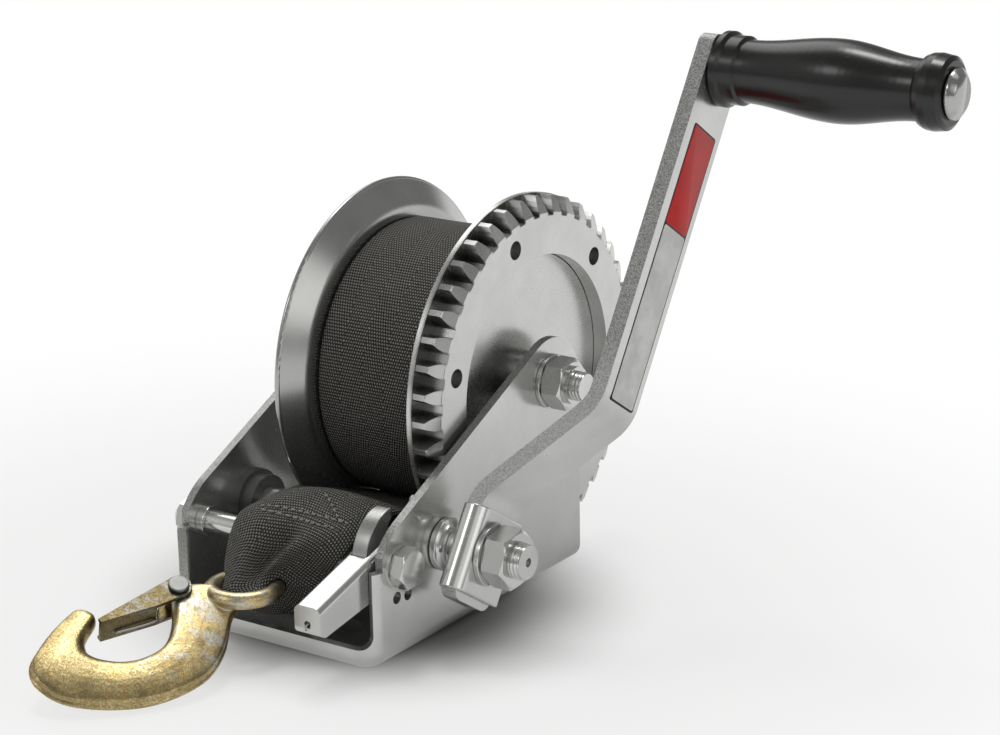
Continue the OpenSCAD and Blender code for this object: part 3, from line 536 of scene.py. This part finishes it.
def surface(name, grid, across, along, finish, around=False, body=None):
    """Builds a woven surface; across and along hold each point's place on the flat webbing.

    around closes each row into a loop, and the two ends with a face."""
    made = bmesh.new()
    uv = made.loops.layers.uv.new("UVMap")
    verts = [[made.verts.new(p) for p in row] for row in grid]
    cols = len(grid[0])
    for i in range(len(grid) - 1):
        for j in range(cols if around else cols - 1):
            corners = [(i, j), (i, j + 1), (i + 1, j + 1), (i + 1, j)]
            face = made.faces.new([verts[a][b % cols] for a, b in corners])
            for loop, (a, b) in zip(face.loops, corners):
                loop[uv].uv = (across[a][b], along[a][b])
    if around:
        made.faces.new(verts[0][::-1])
        made.faces.new(verts[-1])
    bmesh.ops.recalc_face_normals(made, faces=made.faces)
    return piece_from(name, made, finish, body)


def spline(points, t):
    """Smooth curve through points at t, which counts them from 0."""
    i = min(int(t), len(points) - 2)
    f = t - i
    a, b, c, d = (points[min(max(k, 0), len(points) - 1)] for k in (i - 1, i, i + 1, i + 2))
    square, cube = 2 * a - 5 * b + 4 * c - d, 3 * b - a - 3 * c + d
    return 0.5 * ((2 * b) + (c - a) * f + square * f * f + cube * f ** 3)


def wire(name, path, radius, finish, body, sides):
    """Round wire along a path of points."""
    made = bmesh.new()
    turn = (path[1] - path[0]).normalized()
    side = turn.orthogonal().normalized()
    angles = [2 * math.pi * k / sides for k in range(sides)]
    rings = []
    for i, point in enumerate(path):
        ahead = (path[min(i + 1, len(path) - 1)] - path[max(i - 1, 0)]).normalized()
        side = (side - ahead * side.dot(ahead)).normalized()
        other = ahead.cross(side)
        rings.append([
            made.verts.new(point + radius * (math.cos(a) * side + math.sin(a) * other)) for a in angles])
    skin(made, rings)
    return piece_from(name, made, finish, body)


def thread(name, centre, x0, x1, low, high, finish, body):
    """Screw thread from radius low to high as a wavy sleeve on its shank, with a tapered start at x1."""
    made = bmesh.new()
    sides = 72
    steps = int((x1 - x0) / PITCH * 10)
    rings = []
    for i in range(steps + 1):
        x = x0 + (x1 - x0) * i / steps
        fade = min(1, (x1 - x) / PITCH * 1.2)
        ring = []
        for k in range(sides):
            phase = (x / PITCH - k / sides) % 1
            r = low + (high - low) * fade * (1 - abs(2 * phase - 1))
            ring.append(made.verts.new(rim_point(centre, x, r, 2 * math.pi * k / sides)))
        rings.append(ring)
    skin(made, rings, False, False)
    bmesh.ops.recalc_face_normals(made, faces=made.faces)
    return piece_from(name, made, finish, body)


# ---- Stage ----

# Where the camera stands in millimetres, which way it looks in degrees, and its lens
CAMERA = {
    "place": (564.8, -735.3, 372.0),
    "azimuth": 34.83,
    "elevation": 17.29,
    "roll": -1.02,
    "lens": 97.72,
}

# Soft boxes: which way they hang, how far they reach in full and until they have faded, and their glow
LAMPS = (
    ((-0.58, 0.40, 0.71), 0.24, 0.44, 1.9),
    ((-0.20, 0.26, 0.94), 0.07, 0.19, 14.0),
    ((0.05, 0.20, 0.98), 0.15, 0.40, 0.9),
    ((-0.38, -0.73, 0.57), 0.11, 0.17, 4.0),
    ((0.70, -0.52, 0.49), 0.20, 0.50, 0.6),
)


def studio_light():
    """Soft boxes overhead and around, glows at the right and in front, and a white backdrop behind."""
    world = bpy.data.worlds.new("Studio")
    bpy.context.scene.world = world
    f = Finish("Studio", world, "Background")
    where = f.place("Generated")
    x, y, z = f.parts(where)
    back = y.ramp(0.1, 0.5) * (1 - z.ramp(0.04, 0.16))
    right = x.ramp(0.76, 0.86) * z.ramp(0.06, 0.20) * (1 - z.ramp(0.5, 0.62))
    right = right * y.ramp(-0.5, -0.3) * (1 - y.ramp(-0.02, 0.12))
    front = (1 - x.ramp(-0.30, 0.05)) * (1 - y.ramp(-0.3, 0.1)) * z.ramp(0.0, 0.2) * (1 - z.ramp(0.62, 0.8))
    level = back * 0.8 + right * 1.15 + front * 0.28 + 0.27
    for aim, inner, outer, glow in LAMPS:
        near = f.node("ShaderNodeVectorMath", {"operation": "DISTANCE"}, {0: where, 1: aim}, output=1)
        level = level + (1 - near.ramp(inner, outer)) * glow
    ray = f.tree.nodes.new("ShaderNodeLightPath")
    seen = Value(f, ray.outputs["Is Camera Ray"]).most(Value(f, ray.outputs["Is Transmission Ray"]))
    white = f.mixed(seen, f.joined(level, level, level * 0.985), (1, 1, 1))
    f.set(Color=white)
    world.cycles.sampling_method = "MANUAL"
    world.cycles.sample_map_resolution = 1024


class WINCH_OT_stage(bpy.types.Operator):
    """Makes the floor, the light and the camera."""

    bl_idname = "winch.stage"
    bl_label = "Stage"

    def execute(self, context):
        studio_light()
        self.floor()
        self.camera()
        context.scene.view_settings.view_transform = "Standard"
        return {"FINISHED"}

    def floor(self):
        """Pale floor with a painted shadow close to the winch, where its colour darkens, fading into the white
        further out.
        """
        made = bmesh.new()
        bmesh.ops.create_grid(made, x_segments=1, y_segments=1, size=6)
        f = Finish("Pale floor")
        x, y, _ = f.parts(f.place())
        gap = ((x * 0.9) ** 2 + (y + 0.01) ** 2) ** 0.5
        near, far = gap.ramp(0.045, 0.10) * 0.72, gap.ramp(0.08, 0.36) * 0.28
        # dark is a painted shadow: the floor's own colour under and right beside the winch
        dark, pale = (0.10, 0.10, 0.10), (0.60, 0.60, 0.595)
        f.set(Base_Color=f.mixed(gap.ramp(0.03, 0.075), dark, pale), Roughness=0.8)
        ray = f.tree.nodes.new("ShaderNodeLightPath")
        seen = Value(f, ray.outputs["Is Camera Ray"])
        mirrored = Value(f, ray.outputs["Is Glossy Ray"]).most(Value(f, ray.outputs["Is Transmission Ray"]))
        # close is a painted reflection: beside the winch, except behind it, the floor glows white for
        # reflected rays only, brightening the plates' reflection of it while the camera sees the painted
        # shadow there
        close = gap.ramp(0.035, 0.06) * (1 - y.ramp(0.02, 0.07)) * 0.32
        share = seen * (near + far) + mirrored * (near * 0.45 + close + far * 2.6)
        glow = f.node("ShaderNodeEmission", None, {"Color": (1, 1, 1), "Strength": 1.0})
        shown = f.node("ShaderNodeMixShader", None, {0: share, 1: Value(f, f.shader.outputs[0]), 2: glow})
        f.tree.links.new(shown.socket, f.tree.nodes["Material Output"].inputs["Surface"])
        floor = piece_from("floor", made, f.material, smooth=False)
        floor.location.z = CAD_BOX[0].z - 0.05 * MM

    def camera(self):
        """Camera in front, on the crank's side and a little above."""
        a, e, r = (math.radians(CAMERA[k]) for k in ("azimuth", "elevation", "roll"))
        back = Vector((math.sin(a) * math.cos(e), -math.cos(a) * math.cos(e), math.sin(e)))
        right = Vector((math.cos(a), math.sin(a), 0))
        up = back.cross(right)
        right, up = math.cos(r) * right + math.sin(r) * up, math.cos(r) * up - math.sin(r) * right
        data = bpy.data.cameras.new("Camera")
        data.lens = CAMERA["lens"]
        data.sensor_width = 36
        data.clip_start, data.clip_end = 0.01, 50
        camera = bpy.data.objects.new("Camera", data)
        place = Vector(CAMERA["place"]) * MM
        camera.matrix_world = Matrix.Translation(place) @ Matrix((right, up, back)).transposed().to_4x4()
        bpy.context.scene.collection.objects.link(camera)
        bpy.context.scene.camera = camera


# ---- Metalwork ----


class WINCH_OT_metal(bpy.types.Operator):
    """Finishes the folded frame, the drum's discs, the gears and the fasteners."""

    bl_idname = "winch.metal"
    bl_label = "Metal"

    def execute(self, context):
        s = settings()
        zinc, dark = colour_value(s.zinc), colour_value(s.dark_zinc)
        sheet = plated("Zinc sheet", zinc, 0.20)
        dress("frame", plated("Frame sheet", zinc, 0.20, grain=0.006, cut=sheet_edges))
        soften("frame", 0.5)
        for node, width in [("crank_socket", 0.6), ("pawl_lever", 0.3)]:
            dress(node, sheet)
            soften(node, width, 3)
        dress("gear_ring", turned("Pressed gear", zinc, 0.24, AXLE, shaded=self.flanks))
        soften("gear_ring", 0.42, 3)
        dress("left_flange", turned("Spun disc", [c * 0.72 for c in zinc], 0.21, AXLE))
        dress("gear_flange", turned("Gear disc", zinc, 0.26, AXLE, shaded=self.behind))
        dress("crank_arm", plated("Rolled bar", zinc, 0.24, grain=0.02, cut=bar_edges))
        soften("crank_arm", 1.8, 5)
        bright = plated("Bright fastener", [c * 1.06 for c in zinc], 0.16, grain=0.01)
        for node in ("axle_bolt", "axle_nut", "crank_nut", "tie_bolt", "tie_nut"):
            dress(node, bright)
            soften(node, 0.4, 3)
        for node in ("axle_washers", "crank_washer", "spool_bush", "tie_collar", "drive_shaft"):
            dress(node, turned("Turned " + node, zinc, 0.18, SHAFT))
        for node in ("axle_washers", "crank_washer", "spool_bush", "tie_collar"):
            soften(node, 0.3, 3)
        dress("grip_rivet", turned("Rivet head", [c * 0.7 for c in zinc], 0.16, GRIP, dome=43))
        soften("grip_rivet", 1.7, 5)
        dull = plated("Dull zinc", dark, 0.28, grain=0.02)
        for node in ("drum_core", "drum_hub", "pinion", "shaft_clip", "pawl", "pawl_spring", "latch_spring"):
            dress(node, dull)
        soften("pawl", 0.4)
        soften("pinion", 0.3)
        self.threads(bright)
        self.spring(dull)
        return {"FINISHED"}

    def teeth(self, f, dy, dz):
        """0 midway between two teeth, 1 on a tooth's middle."""
        turn = f.node("ShaderNodeMath", {"operation": "ARCTAN2"}, {0: dz, 1: dy})
        return abs((turn * (TEETH / (2 * math.pi))).fraction() - 0.5) * 2

    def flanks(self, f, x, dy, dz, ring):
        """Sides and roots of the gear's teeth, which lie in shade."""
        side = 1 - self.teeth(f, dy, dz).ramp(0.34, 0.60)
        deep = 1 - x.ramp(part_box("gear_ring")[0].x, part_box("gear_ring")[1].x)
        return (side * 0.6 + deep * 0.45).least(0.85) * ring.ramp(59.4 * MM, 60.4 * MM)

    def behind(self, f, x, dy, dz, ring):
        """Painted shade on the disc's face between the teeth, where the teeth keep the light out."""
        side = 1 - self.teeth(f, dy, dz).ramp(0.30, 0.75) * 0.4
        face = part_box("gear_ring")[0].x
        front = x.ramp(face - 1.0 * MM, face - 0.3 * MM)
        return side * front * ring.ramp(58 * MM, 59.5 * MM) * (1 - ring.ramp(66.9 * MM, 67.4 * MM)) * 0.9

    def threads(self, finish):
        """Rolled threads where bolts stand out of their nuts."""
        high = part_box("drive_shaft")[1]
        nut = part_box("crank_nut")[1].x
        thread("crank_thread", SHAFT, nut / MM - 1, high.x / MM - 0.05, 6.02, 6.5, finish, "crank")
        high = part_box("axle_bolt")[1]
        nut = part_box("axle_nut")[1].x
        thread("axle_thread", AXLE, nut / MM - 1, high.x / MM - 0.05, 5.02, 5.45, finish, "frame")

    def spring(self, finish):
        """Coiled pull spring inside the pawl lever, with a hook at each end."""
        low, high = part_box("pawl_spring")
        middle = (low.x + high.x) / 2
        first, last = Vector((middle / MM, -79.97, 24.32)), Vector((middle / MM, -65.77, 24.32))
        thick, radius, turns, per = 0.45, 2.1, 13, 14
        path = [Vector((first.x, first.y - 8.8, 22.5)), Vector((first.x, first.y - 8.9, 24.1)),
                Vector((first.x, first.y - 2.5, 24.4))]
        for k in range(turns * per + 1):
            a = 2 * math.pi * k / per
            y = first.y + (last.y - first.y) * k / (turns * per)
            path.append(Vector((first.x + radius * math.sin(a), y, first.z + radius * math.cos(a))))
        path += [last + Vector((0, 2, 0.3)), Vector((first.x, -58.37, 25.5)), Vector((first.x, -57.1, 27.8))]
        coil = wire("pawl_coil", [p * MM for p in path], thick * MM, finish, "pawl", 8)
        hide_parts("pawl_spring")


class WINCH_OT_plastic(bpy.types.Operator):
    """Finishes the grip and the shaft's bushes."""

    bl_idname = "winch.plastic"
    bl_label = "Plastic"

    def execute(self, context):
        black = black_plastic("Black plastic", colour_value(settings().plastic))
        dress("grip", black)
        worn = black_plastic("Bush plastic", [c * 9 for c in colour_value(settings().plastic)])
        for node in ("left_shaft_bush", "right_shaft_bush"):
            dress(node, worn)
        return {"FINISHED"}


# ---- Hook ----

HOOK_AT = Vector((-7.4, -72.9, 23))
HOOK_TURN = Euler([math.radians(a) for a in (-26.9, 9.6, -108.9)], "XYZ").to_matrix()
# The forging's outer and inner outline from eye to tip, and its half thickness, in millimetres
OUTER = (
    (5, 7), (10.5, 10.5), (19.5, 20.5), (30, 27), (42, 28.2), (54, 26), (66, 20), (76, 11.5), (80, 2),
    (78, -5.8), (70.5, -11.4), (62, -15.8), (51.6, -19.6))
INNER = (
    (9, -6), (15.5, -9.5), (22.8, -6.4), (28.5, 2), (36, 9.2), (44.5, 10.5), (51.5, 8.5), (57, 4), (59.3, 0),
    (59, -3), (57.6, -5.6), (54.4, -8.2), (48.6, -12))
THICK = (3.2, 3.4, 3.9, 4.4, 4.5, 4.5, 4.5, 4.5, 4.4, 4.3, 4.2, 4.1, 3.9)
LATCH_AT = (19.7, -7.8)


def hook_point(u, v, n):
    """Point on the hook in its own plane: u forward from the eye, v across, n through it."""
    return (HOOK_AT + HOOK_TURN @ Vector((u, v, n))) * MM


def eye_rings(made, bar):
    """Rings of points round the hook's eye, for a bar of that radius."""
    rings = []
    for i in range(96):
        a = 2 * math.pi * i / 96
        out = Vector((math.cos(a), math.sin(a), 0))
        angles = [2 * math.pi * k / 24 for k in range(24)]
        rings.append([
            made.verts.new(EYE_AT + out * (EYE_RADIUS + bar * math.cos(b)) + Vector((0, 0, bar * math.sin(b))))
            for b in angles])
    return rings + rings[:1]


class WINCH_OT_hook(bpy.types.Operator):
    """Forges the hook with its flash line, and finishes its latch, rivet and spring."""

    bl_idname = "winch.hook"
    bl_label = "Hook"

    def execute(self, context):
        tint = colour_value(settings().yellow_zinc)
        forged = mottled_hook("Forged yellow zinc", tint)
        hook = self.body(forged)
        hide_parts("hook")
        dress("hook_latch", mottled_hook("Pressed yellow zinc", [c * 0.27 for c in tint], 0.24, 0.22))
        soften("hook_latch", 0.25)
        # grey is painted shade: the rivet's zinc is darkened to stand in for the shaded middle of a domed head
        # it does not have
        grey = [c * 0.38 for c in colour_value(settings().zinc)]
        dress("latch_rivet", plated("Latch rivet", grey, 0.4, grain=0.05))
        soften("latch_rivet", 0.5, 3)
        trim = NODES["latch_rivet"].modifiers.new("Running room", "DISPLACE")
        trim.strength = -0.05 * MM
        trim.mid_level = 0
        self.spring()
        return {"FINISHED"}

    def body(self, finish):
        """Bow, eye and ear, fused into one smooth forging."""
        made = bmesh.new()
        self.bow(made)
        skin(made, eye_rings(made, 3 * MM), False, False)
        self.lug(made)
        bmesh.ops.recalc_face_normals(made, faces=made.faces)
        piece = piece_from("forged_hook", made, finish)
        fuse = piece.modifiers.new("Fuse", "REMESH")
        fuse.mode = "VOXEL"
        fuse.voxel_size = 0.38 * MM
        fuse.use_smooth_shade = True
        smooth = piece.modifiers.new("Forged skin", "SMOOTH")
        smooth.factor = 0.5
        smooth.iterations = 2
        bake(piece)
        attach(piece, "hook")
        return piece

    def section(self, flash):
        """Half-width and half-thickness round the forging, as shares of its own.

        It is round on the inside, nearly flat across, and has its flash on the outer rim."""
        arc = [(-0.58 - 0.42 * math.sin(a), -math.cos(a)) for a in (math.pi * k / 16 for k in range(17))]
        top = [(-0.2, 0.995), (0.1, 0.955), (0.35, 0.885), (0.6, 0.79), (0.82, 0.68), (0.95, 0.59),
               (0.99, 0.48), (1.0, 0.16), (1.0 + flash, 0.10)]
        return arc + top + [(x, -y) for x, y in top[::-1]]

    def bow(self, made, per=8):
        """Body from the eye round to the tip, which is rounded off over its last 0.4 of a pair."""
        outer, inner = [Vector(p) for p in OUTER], [Vector(p) for p in INNER]
        last = (len(OUTER) - 1) * per
        rings = []
        for i in range(last + 1):
            t = i / per
            o, n, h = spline(outer, t), spline(inner, t), spline(THICK, t)
            near_end = max(0, (t - 11.6) / 0.4)
            shrink = math.sqrt(max(0.25, 1 - near_end ** 2))
            middle, half = (o + n) / 2, (o - n) / 2 * shrink
            ring = []
            for across, up in self.section(1.0 / half.length):
                p = middle + half * across
                ring.append(made.verts.new(hook_point(p.x, p.y, h * up * shrink)))
            rings.append(ring)
        skin(made, rings)

    def lug(self, made):
        """Ear that the latch turns on."""
        rings = []
        for n, r in ((-3.5, 4.1), (-3.1, 4.6), (3.1, 4.6), (3.5, 4.1)):
            angles = [2 * math.pi * k / 36 for k in range(36)]
            rings.append([
                made.verts.new(hook_point(LATCH_AT[0] + r * math.cos(a), LATCH_AT[1] + r * math.sin(a), n))
                for a in angles])
        skin(made, rings)

    def spring(self):
        """Bent wire that holds the latch shut."""
        web = [Vector((11, 3.7)), Vector((30.8, 0.4))]
        far, near = web[0].lerp(web[1], 0.75) + Vector((0, 0.65)), web[0] + Vector((1.7, 0.6))
        bends = [far, near, Vector((9.8, 2.4)), Vector((8.2, -0.4)), Vector((8.8, -2.8))]
        path = []
        for k in range(41):
            p = spline(bends, 4 * k / 40)
            path.append(hook_point(LATCH_AT[0] + p.x, LATCH_AT[1] + p.y, -1.6))
        dull = plated("Spring wire", colour_value(settings().dark_zinc), 0.2)
        coil = wire("latch_wire", path, 0.5 * MM, dull, "latch", 12)
        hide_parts("latch_spring")


class WINCH_OT_panels(bpy.types.Operator):
    """Lays the red and the pale film on the crank."""

    bl_idname = "winch.panels"
    bl_label = "Crank panels"

    def execute(self, context):
        s = settings()
        outline = film("Panel outline", (0.02, 0.02, 0.02), 0.35)
        red = film("Red film", colour_value(s.panel_red), 0.28)
        pale = film("Pale film", colour_value(s.panel_pale), 0.26)
        self.patch("panel_outline", 59.6, 161.6, -7.6, 9.2, 0.06, outline)
        self.patch("panel_red", 124.6, 161.0, -6.9, 8.7, 0.12, red)
        self.patch("panel_pale", 60.3, 124.0, -6.9, 8.7, 0.12, pale)
        return {"FINISHED"}

    def patch(self, name, low, high, front, rear, lift, finish):
        """Thin film with rounded corners and a soft edge, placed in millimetres up and across the bar."""
        made = bmesh.new()
        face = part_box("crank_arm")[1].x / MM
        rings = []
        for inset, x in ((0, face - 0.05), (0, face + lift * 0.6), (0.08, face + lift)):
            ring = []
            for corner, (up, across) in enumerate(((high, rear), (high, front), (low, front), (low, rear))):
                r = 1.1 - inset
                su, sa = (1 if up == high else -1), (1 if across == rear else -1)
                for k in range(7):
                    a = math.pi / 2 * (k / 6 if corner % 2 == 0 else 1 - k / 6)
                    ring.append(made.verts.new(crank_point(
                        up - su * (inset + r * (1 - math.sin(a))),
                        across - sa * (inset + r * (1 - math.cos(a))), x)))
            rings.append(ring)
        skin(made, rings, start=False)
        bmesh.ops.recalc_face_normals(made, faces=made.faces)
        piece = piece_from(name, made, finish, "crank")
        sharpen(piece)


# Strap tail: each station runs over the top from the left edge to the right edge, in millimetres,
# then says how far the underside lies from the straight line between the two edges
TAIL = (
    (((-21.6, -22, 41.5), (-20.4, -22, 42.7), (-11, -22, 43), (1, -22, 43.1), (13, -22, 43.1),
      (26, -22, 42.9), (28.3, -22, 41.6)), (0, 0, -0.9)),
    (((-21.6, -33, 42.3), (-20, -33.5, 44.2), (-11, -34, 47.4), (1, -33, 49.2), (13, -31.5, 48.8),
      (24.5, -30, 46.6), (28.2, -30, 43.4)), (0, 0, -2.2)),
    (((-21.9, -44, 41.6), (-20.6, -44.5, 43.9), (-9, -44, 49), (1.5, -41.5, 51), (12, -39, 50.3),
      (23, -38, 48), (28.2, -38, 44)), (0, -1, -2.3)),
    (((-22.2, -52, 40.4), (-21, -54, 42.2), (-11, -54.3, 44.8), (3, -54.4, 45.3), (13, -54, 45.2),
      (23, -52.2, 44.6), (27.8, -50, 41.2)), (0, 1.4, -1.3)),
    (((-21.8, -57.8, 34.6), (-20.6, -60.3, 35.8), (-10, -62.4, 37.4), (1.4, -57.6, 36.2), (9, -62.2, 39.2),
      (18, -59.2, 38.4), (24.5, -57.2, 34.6)), (0, 2.9, 0)),
    (((-20.3, -62.3, 29.2), (-18.8, -65.2, 29.9), (-9.8, -67.8, 31.4), (-2.6, -61.4, 30.0),
      (3.6, -65.8, 32.8), (10.5, -61.6, 32.7), (17, -54.5, 26.5)), (0, 3, -1)),
    (((-17, -67.6, 25.6), (-15.6, -70.2, 26), (-8.4, -72.6, 27), (-3.6, -66.6, 25.8), (0.4, -69.0, 27.4),
      (4.5, -64.0, 28.1), (12.5, -55, 19.5)), (0, 3.4, -2.4)),
    (((-13.2, -74, 22.2), (-11.2, -76.6, 21.6), (-6.5, -78, 21.2), (-1.8, -76.4, 21.2), (2.2, -71.5, 21.4),
      (4.8, -63.5, 19.5), (9, -55.5, 13.8)), (0, 2, -1.5)),
    (((-10, -71, 17.5), (-8.5, -73, 16.8), (-5, -73.6, 16.3), (-1.5, -72, 15.8), (1.5, -68, 15),
      (3.5, -62, 13.5), (5, -56, 10.6)), (0, 1.8, -1.2)),
    (((-6.5, -68, 14), (-5.4, -68.6, 13.6), (-3.4, -68.5, 13.2), (-1.4, -67.5, 12.8), (0, -65.5, 12.2),
      (1, -62, 11.4), (1.4, -58.5, 10.4)), (0, 0.8, -0.5)),
)
# The point of each station that the weave is measured from, over the top
FOLD = 5
# Sewn lines from end to end, each end as its station and its place over the top
SEAMS = (((2.74, 1.7), (2.80, 5.1)), ((2.93, 1.9), (3.10, 4.8)), ((2.1, 3.5), (2.86, 4.75)))


class WINCH_OT_strap(bpy.types.Operator):
    """Weaves the wound strap and its folded, sewn tail."""

    bl_idname = "winch.strap"
    bl_label = "Strap"

    def execute(self, context):
        s = settings()
        cloth = webbing("Webbing", colour_value(s.webbing), s.yarn)
        low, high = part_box("wound_strap")
        roll = self.roll(cloth, low, high)
        edges = [self.edges(cloth, x, way) for x, way in ((low.x, -1), (high.x, 1))]
        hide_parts("wound_strap")
        tail = self.tail(cloth)
        self.clear_ring(tail)
        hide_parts("strap_tail")
        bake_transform(tail)
        self.run(cloth)
        self.stitches(thread_yarn("Sewing thread", colour_value(s.webbing)))
        return {"FINISHED"}

    def roll(self, cloth, low, high):
        """Outermost turn, its edges slightly rounded and its face faintly uneven."""
        radius = high.z - AXLE.z
        steps, cols = 240, 30
        grid, across, along = [], [], []
        for i in range(steps + 1):
            a = 2 * math.pi * i / steps
            row, u, v = [], [], []
            for j in range(cols + 1):
                share = j / cols
                x = low.x + (high.x - low.x) * share
                edge = min(share, 1 - share) * (high.x - low.x)
                r = radius - 0.5 * MM * math.exp(-edge / (0.5 * MM))
                r += 0.10 * MM * math.sin(3 * a + 5 * share) - 0.12 * MM
                row.append(Vector((x, AXLE.y + r * math.cos(a), AXLE.z + r * math.sin(a))))
                u.append(x - low.x)
                v.append(radius * a)
            grid.append(row)
            across.append(u)
            along.append(v)
        return surface("strap_roll", grid, across, along, cloth, body="drum")

    def edges(self, cloth, x, way):
        """Edges of the turns below, seen from the side."""
        profile = []
        turn, first, last = 1.8, 15.2, 51.4
        groove, face = x / MM - way * 0.55, x / MM - way * 0.12
        for k in range(int((last - first) / turn)):
            r = last - k * turn
            profile += [(groove, r), (face, r - 0.3 * turn), (face, r - 0.7 * turn)]
        return lathe("strap_edges_" + ("left" if way < 0 else "right"), profile, AXLE, cloth, 96, "drum")

    def run(self, cloth):
        """Straight run from under the roll up to the drive shaft."""
        low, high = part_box("wound_strap")
        start, end = Vector((0, 27.3, 24.66)), Vector((0, -21.5, 41.3))
        up = Vector((0, 17, 49)).normalized() * 0.9
        section = [(0, 0.5), (0.008, 1), (0.5, 1), (0.992, 1), (1, 0.5)]
        section += [(t, -h) for t, h in section[::-1]]
        grid, across, along = [], [], []
        width = high.x - low.x
        for p in [start + (end - start) * k / 24 for k in range(25)]:
            grid.append([Vector((low.x + width * t, 0, 0)) + (p + up * h) * MM for t, h in section])
            across.append([t * width for t, _ in section] + [0])
            along.append([(p - start).length * MM] * (len(section) + 1))
        piece = surface("strap_run", grid, across, along, cloth, around=True, body="frame")

    def ring(self, t):
        """One loop of the tail at t along the stations, as control points."""
        stations = []
        for over, under in TAIL:
            left, right = Vector(over[0]), Vector(over[-1])
            below = [right + (left - right) * k / 6 + Vector(under) for k in range(1, 6)]
            stations.append([Vector(p) for p in over] + below)
        return [spline([station[k] for station in stations], t) for k in range(len(stations[0]))]

    def loop(self, t, fine=9):
        """The same loop, closed and smooth."""
        points = self.ring(t)
        n = len(points)
        out = []
        for k in range(n * fine):
            i, f = divmod(k, fine)
            near = [points[(i + m) % n] for m in (-1, 0, 1, 2)]
            out.append(spline(near, 1 + f / fine))
        return out

    def tail(self, cloth, fine=9, per=14):
        """Folded tail from the drive shaft to the hook's ring, with the weave following its folds."""
        rows = [self.loop(i / per, fine) for i in range((len(TAIL) - 1) * per + 1)]
        crease = FOLD * fine
        across, along = [], []
        n = len(rows[0])
        travelled = [0.0] * (n + 1)
        for i, row in enumerate(rows):
            step = [(row[(k + 1) % n] - row[k]).length for k in range(n)]
            u = [0.0] * (n + 1)
            for k in range(crease, n):
                u[k + 1] = u[k] + step[k]
            for k in range(crease, 0, -1):
                u[k - 1] = u[k] - step[k - 1]
            across.append([d * MM for d in u])
            if i:
                travelled = [d + (row[k % n] - rows[i - 1][k % n]).length for k, d in enumerate(travelled)]
            along.append([d * MM for d in travelled])
        self.press(rows, per, fine)
        grid = [[p * MM for p in row] for row in rows]
        return surface("strap_tail_folds", grid, across, along, cloth, around=True)

    def press(self, rows, per, fine):
        """Draws the cloth down along the sewn lines, within reach of them."""
        reach, pull = 2.4, Vector((0, -0.3, 0.95)) * 0.45
        for (t0, s0), (t1, s1) in SEAMS:
            line = [(t0 + (t1 - t0) * k / 60, s0 + (s1 - s0) * k / 60) for k in range(61)]
            marks = [rows[round(t * per)][round(s * fine)] for t, s in line]
            for i in range(int(1.6 * per), int(3.9 * per)):
                for k in range(int(1.2 * fine), int(5.6 * fine)):
                    gap = min((rows[i][k] - m).length for m in marks)
                    if gap < reach:
                        rows[i][k] = rows[i][k] - pull * (1 - gap / reach) ** 2

    def stitches(self, finish):
        """Stitches along the sewn lines, as long beads about 2.9 mm apart."""
        made = bmesh.new()
        for (t0, s0), (t1, s1) in SEAMS:
            a, b = self.on_top(t0, s0), self.on_top(t1, s1)
            count = int((b - a).length / 2.9)
            for k in range(count):
                ends = []
                for share in ((k + 0.1) / count, (k + 0.78) / count):
                    ends.append(self.on_top(t0 + (t1 - t0) * share, s0 + (s1 - s0) * share))
                middle = (ends[0] + ends[1]) / 2
                along = ends[1] - ends[0]
                turn = Vector((1, 0, 0)).rotation_difference(along).to_matrix().to_4x4()
                size = Matrix.Diagonal((along.length * 0.52 * MM, 0.46 * MM, 0.42 * MM, 1))
                place = Matrix.Translation((middle + Vector((0, -0.02, 0.02))) * MM)
                bead(made, place @ turn @ size)
        piece = piece_from("tail_stitches", made, finish, "frame")

    def on_top(self, t, s):
        """Point at station t and place s over the top."""
        return spline(self.ring(t), s)

    def clear_ring(self, tail):
        """Cuts room for the hook's ring, which the tail passes through."""
        made = bmesh.new()
        skin(made, eye_rings(made, 3.3 * MM), False, False)
        bmesh.ops.recalc_face_normals(made, faces=made.faces)
        data = bpy.data.meshes.new("ring_room")
        made.to_mesh(data)
        made.free()
        room = bpy.data.objects.new("ring_room", data)
        bpy.context.scene.collection.objects.link(room)
        cut = tail.modifiers.new("Room for the ring", "BOOLEAN")
        cut.operation = "DIFFERENCE"
        cut.solver = "EXACT"
        cut.object = room
        bake(tail)
        bpy.data.objects.remove(room)


class WINCH_PT_panel(bpy.types.Panel):
    """Buttons that dress the winch, in order."""

    bl_label = "Winch"
    bl_idname = "WINCH_PT_panel"
    bl_space_type = "VIEW_3D"
    bl_region_type = "UI"
    bl_category = "Winch"

    def draw(self, context):
        for prop in WinchSettings.__annotations__:
            self.layout.prop(context.scene.winch, prop)
        for operator in OPERATORS:
            self.layout.operator(operator.bl_idname)


OPERATORS = (
    WINCH_OT_stage,
    WINCH_OT_metal,
    WINCH_OT_plastic,
    WINCH_OT_hook,
    WINCH_OT_panels,
    WINCH_OT_strap,
)
CLASSES = (WinchSettings, *OPERATORS, WINCH_PT_panel)


def register():
    """Makes the settings, the operators and the panel known."""
    for cls in CLASSES:
        bpy.utils.register_class(cls)
    bpy.types.Scene.winch = PointerProperty(type=WinchSettings)


def unregister():
    """Takes them away again."""
    del bpy.types.Scene.winch
    for cls in reversed(CLASSES):
        bpy.utils.unregister_class(cls)


def main():
    """Dresses the winch."""
    register()
    for operator in OPERATORS:
        group, name = operator.bl_idname.split(".")
        getattr(getattr(bpy.ops, group), name)()


if __name__ == "__main__":
    main()
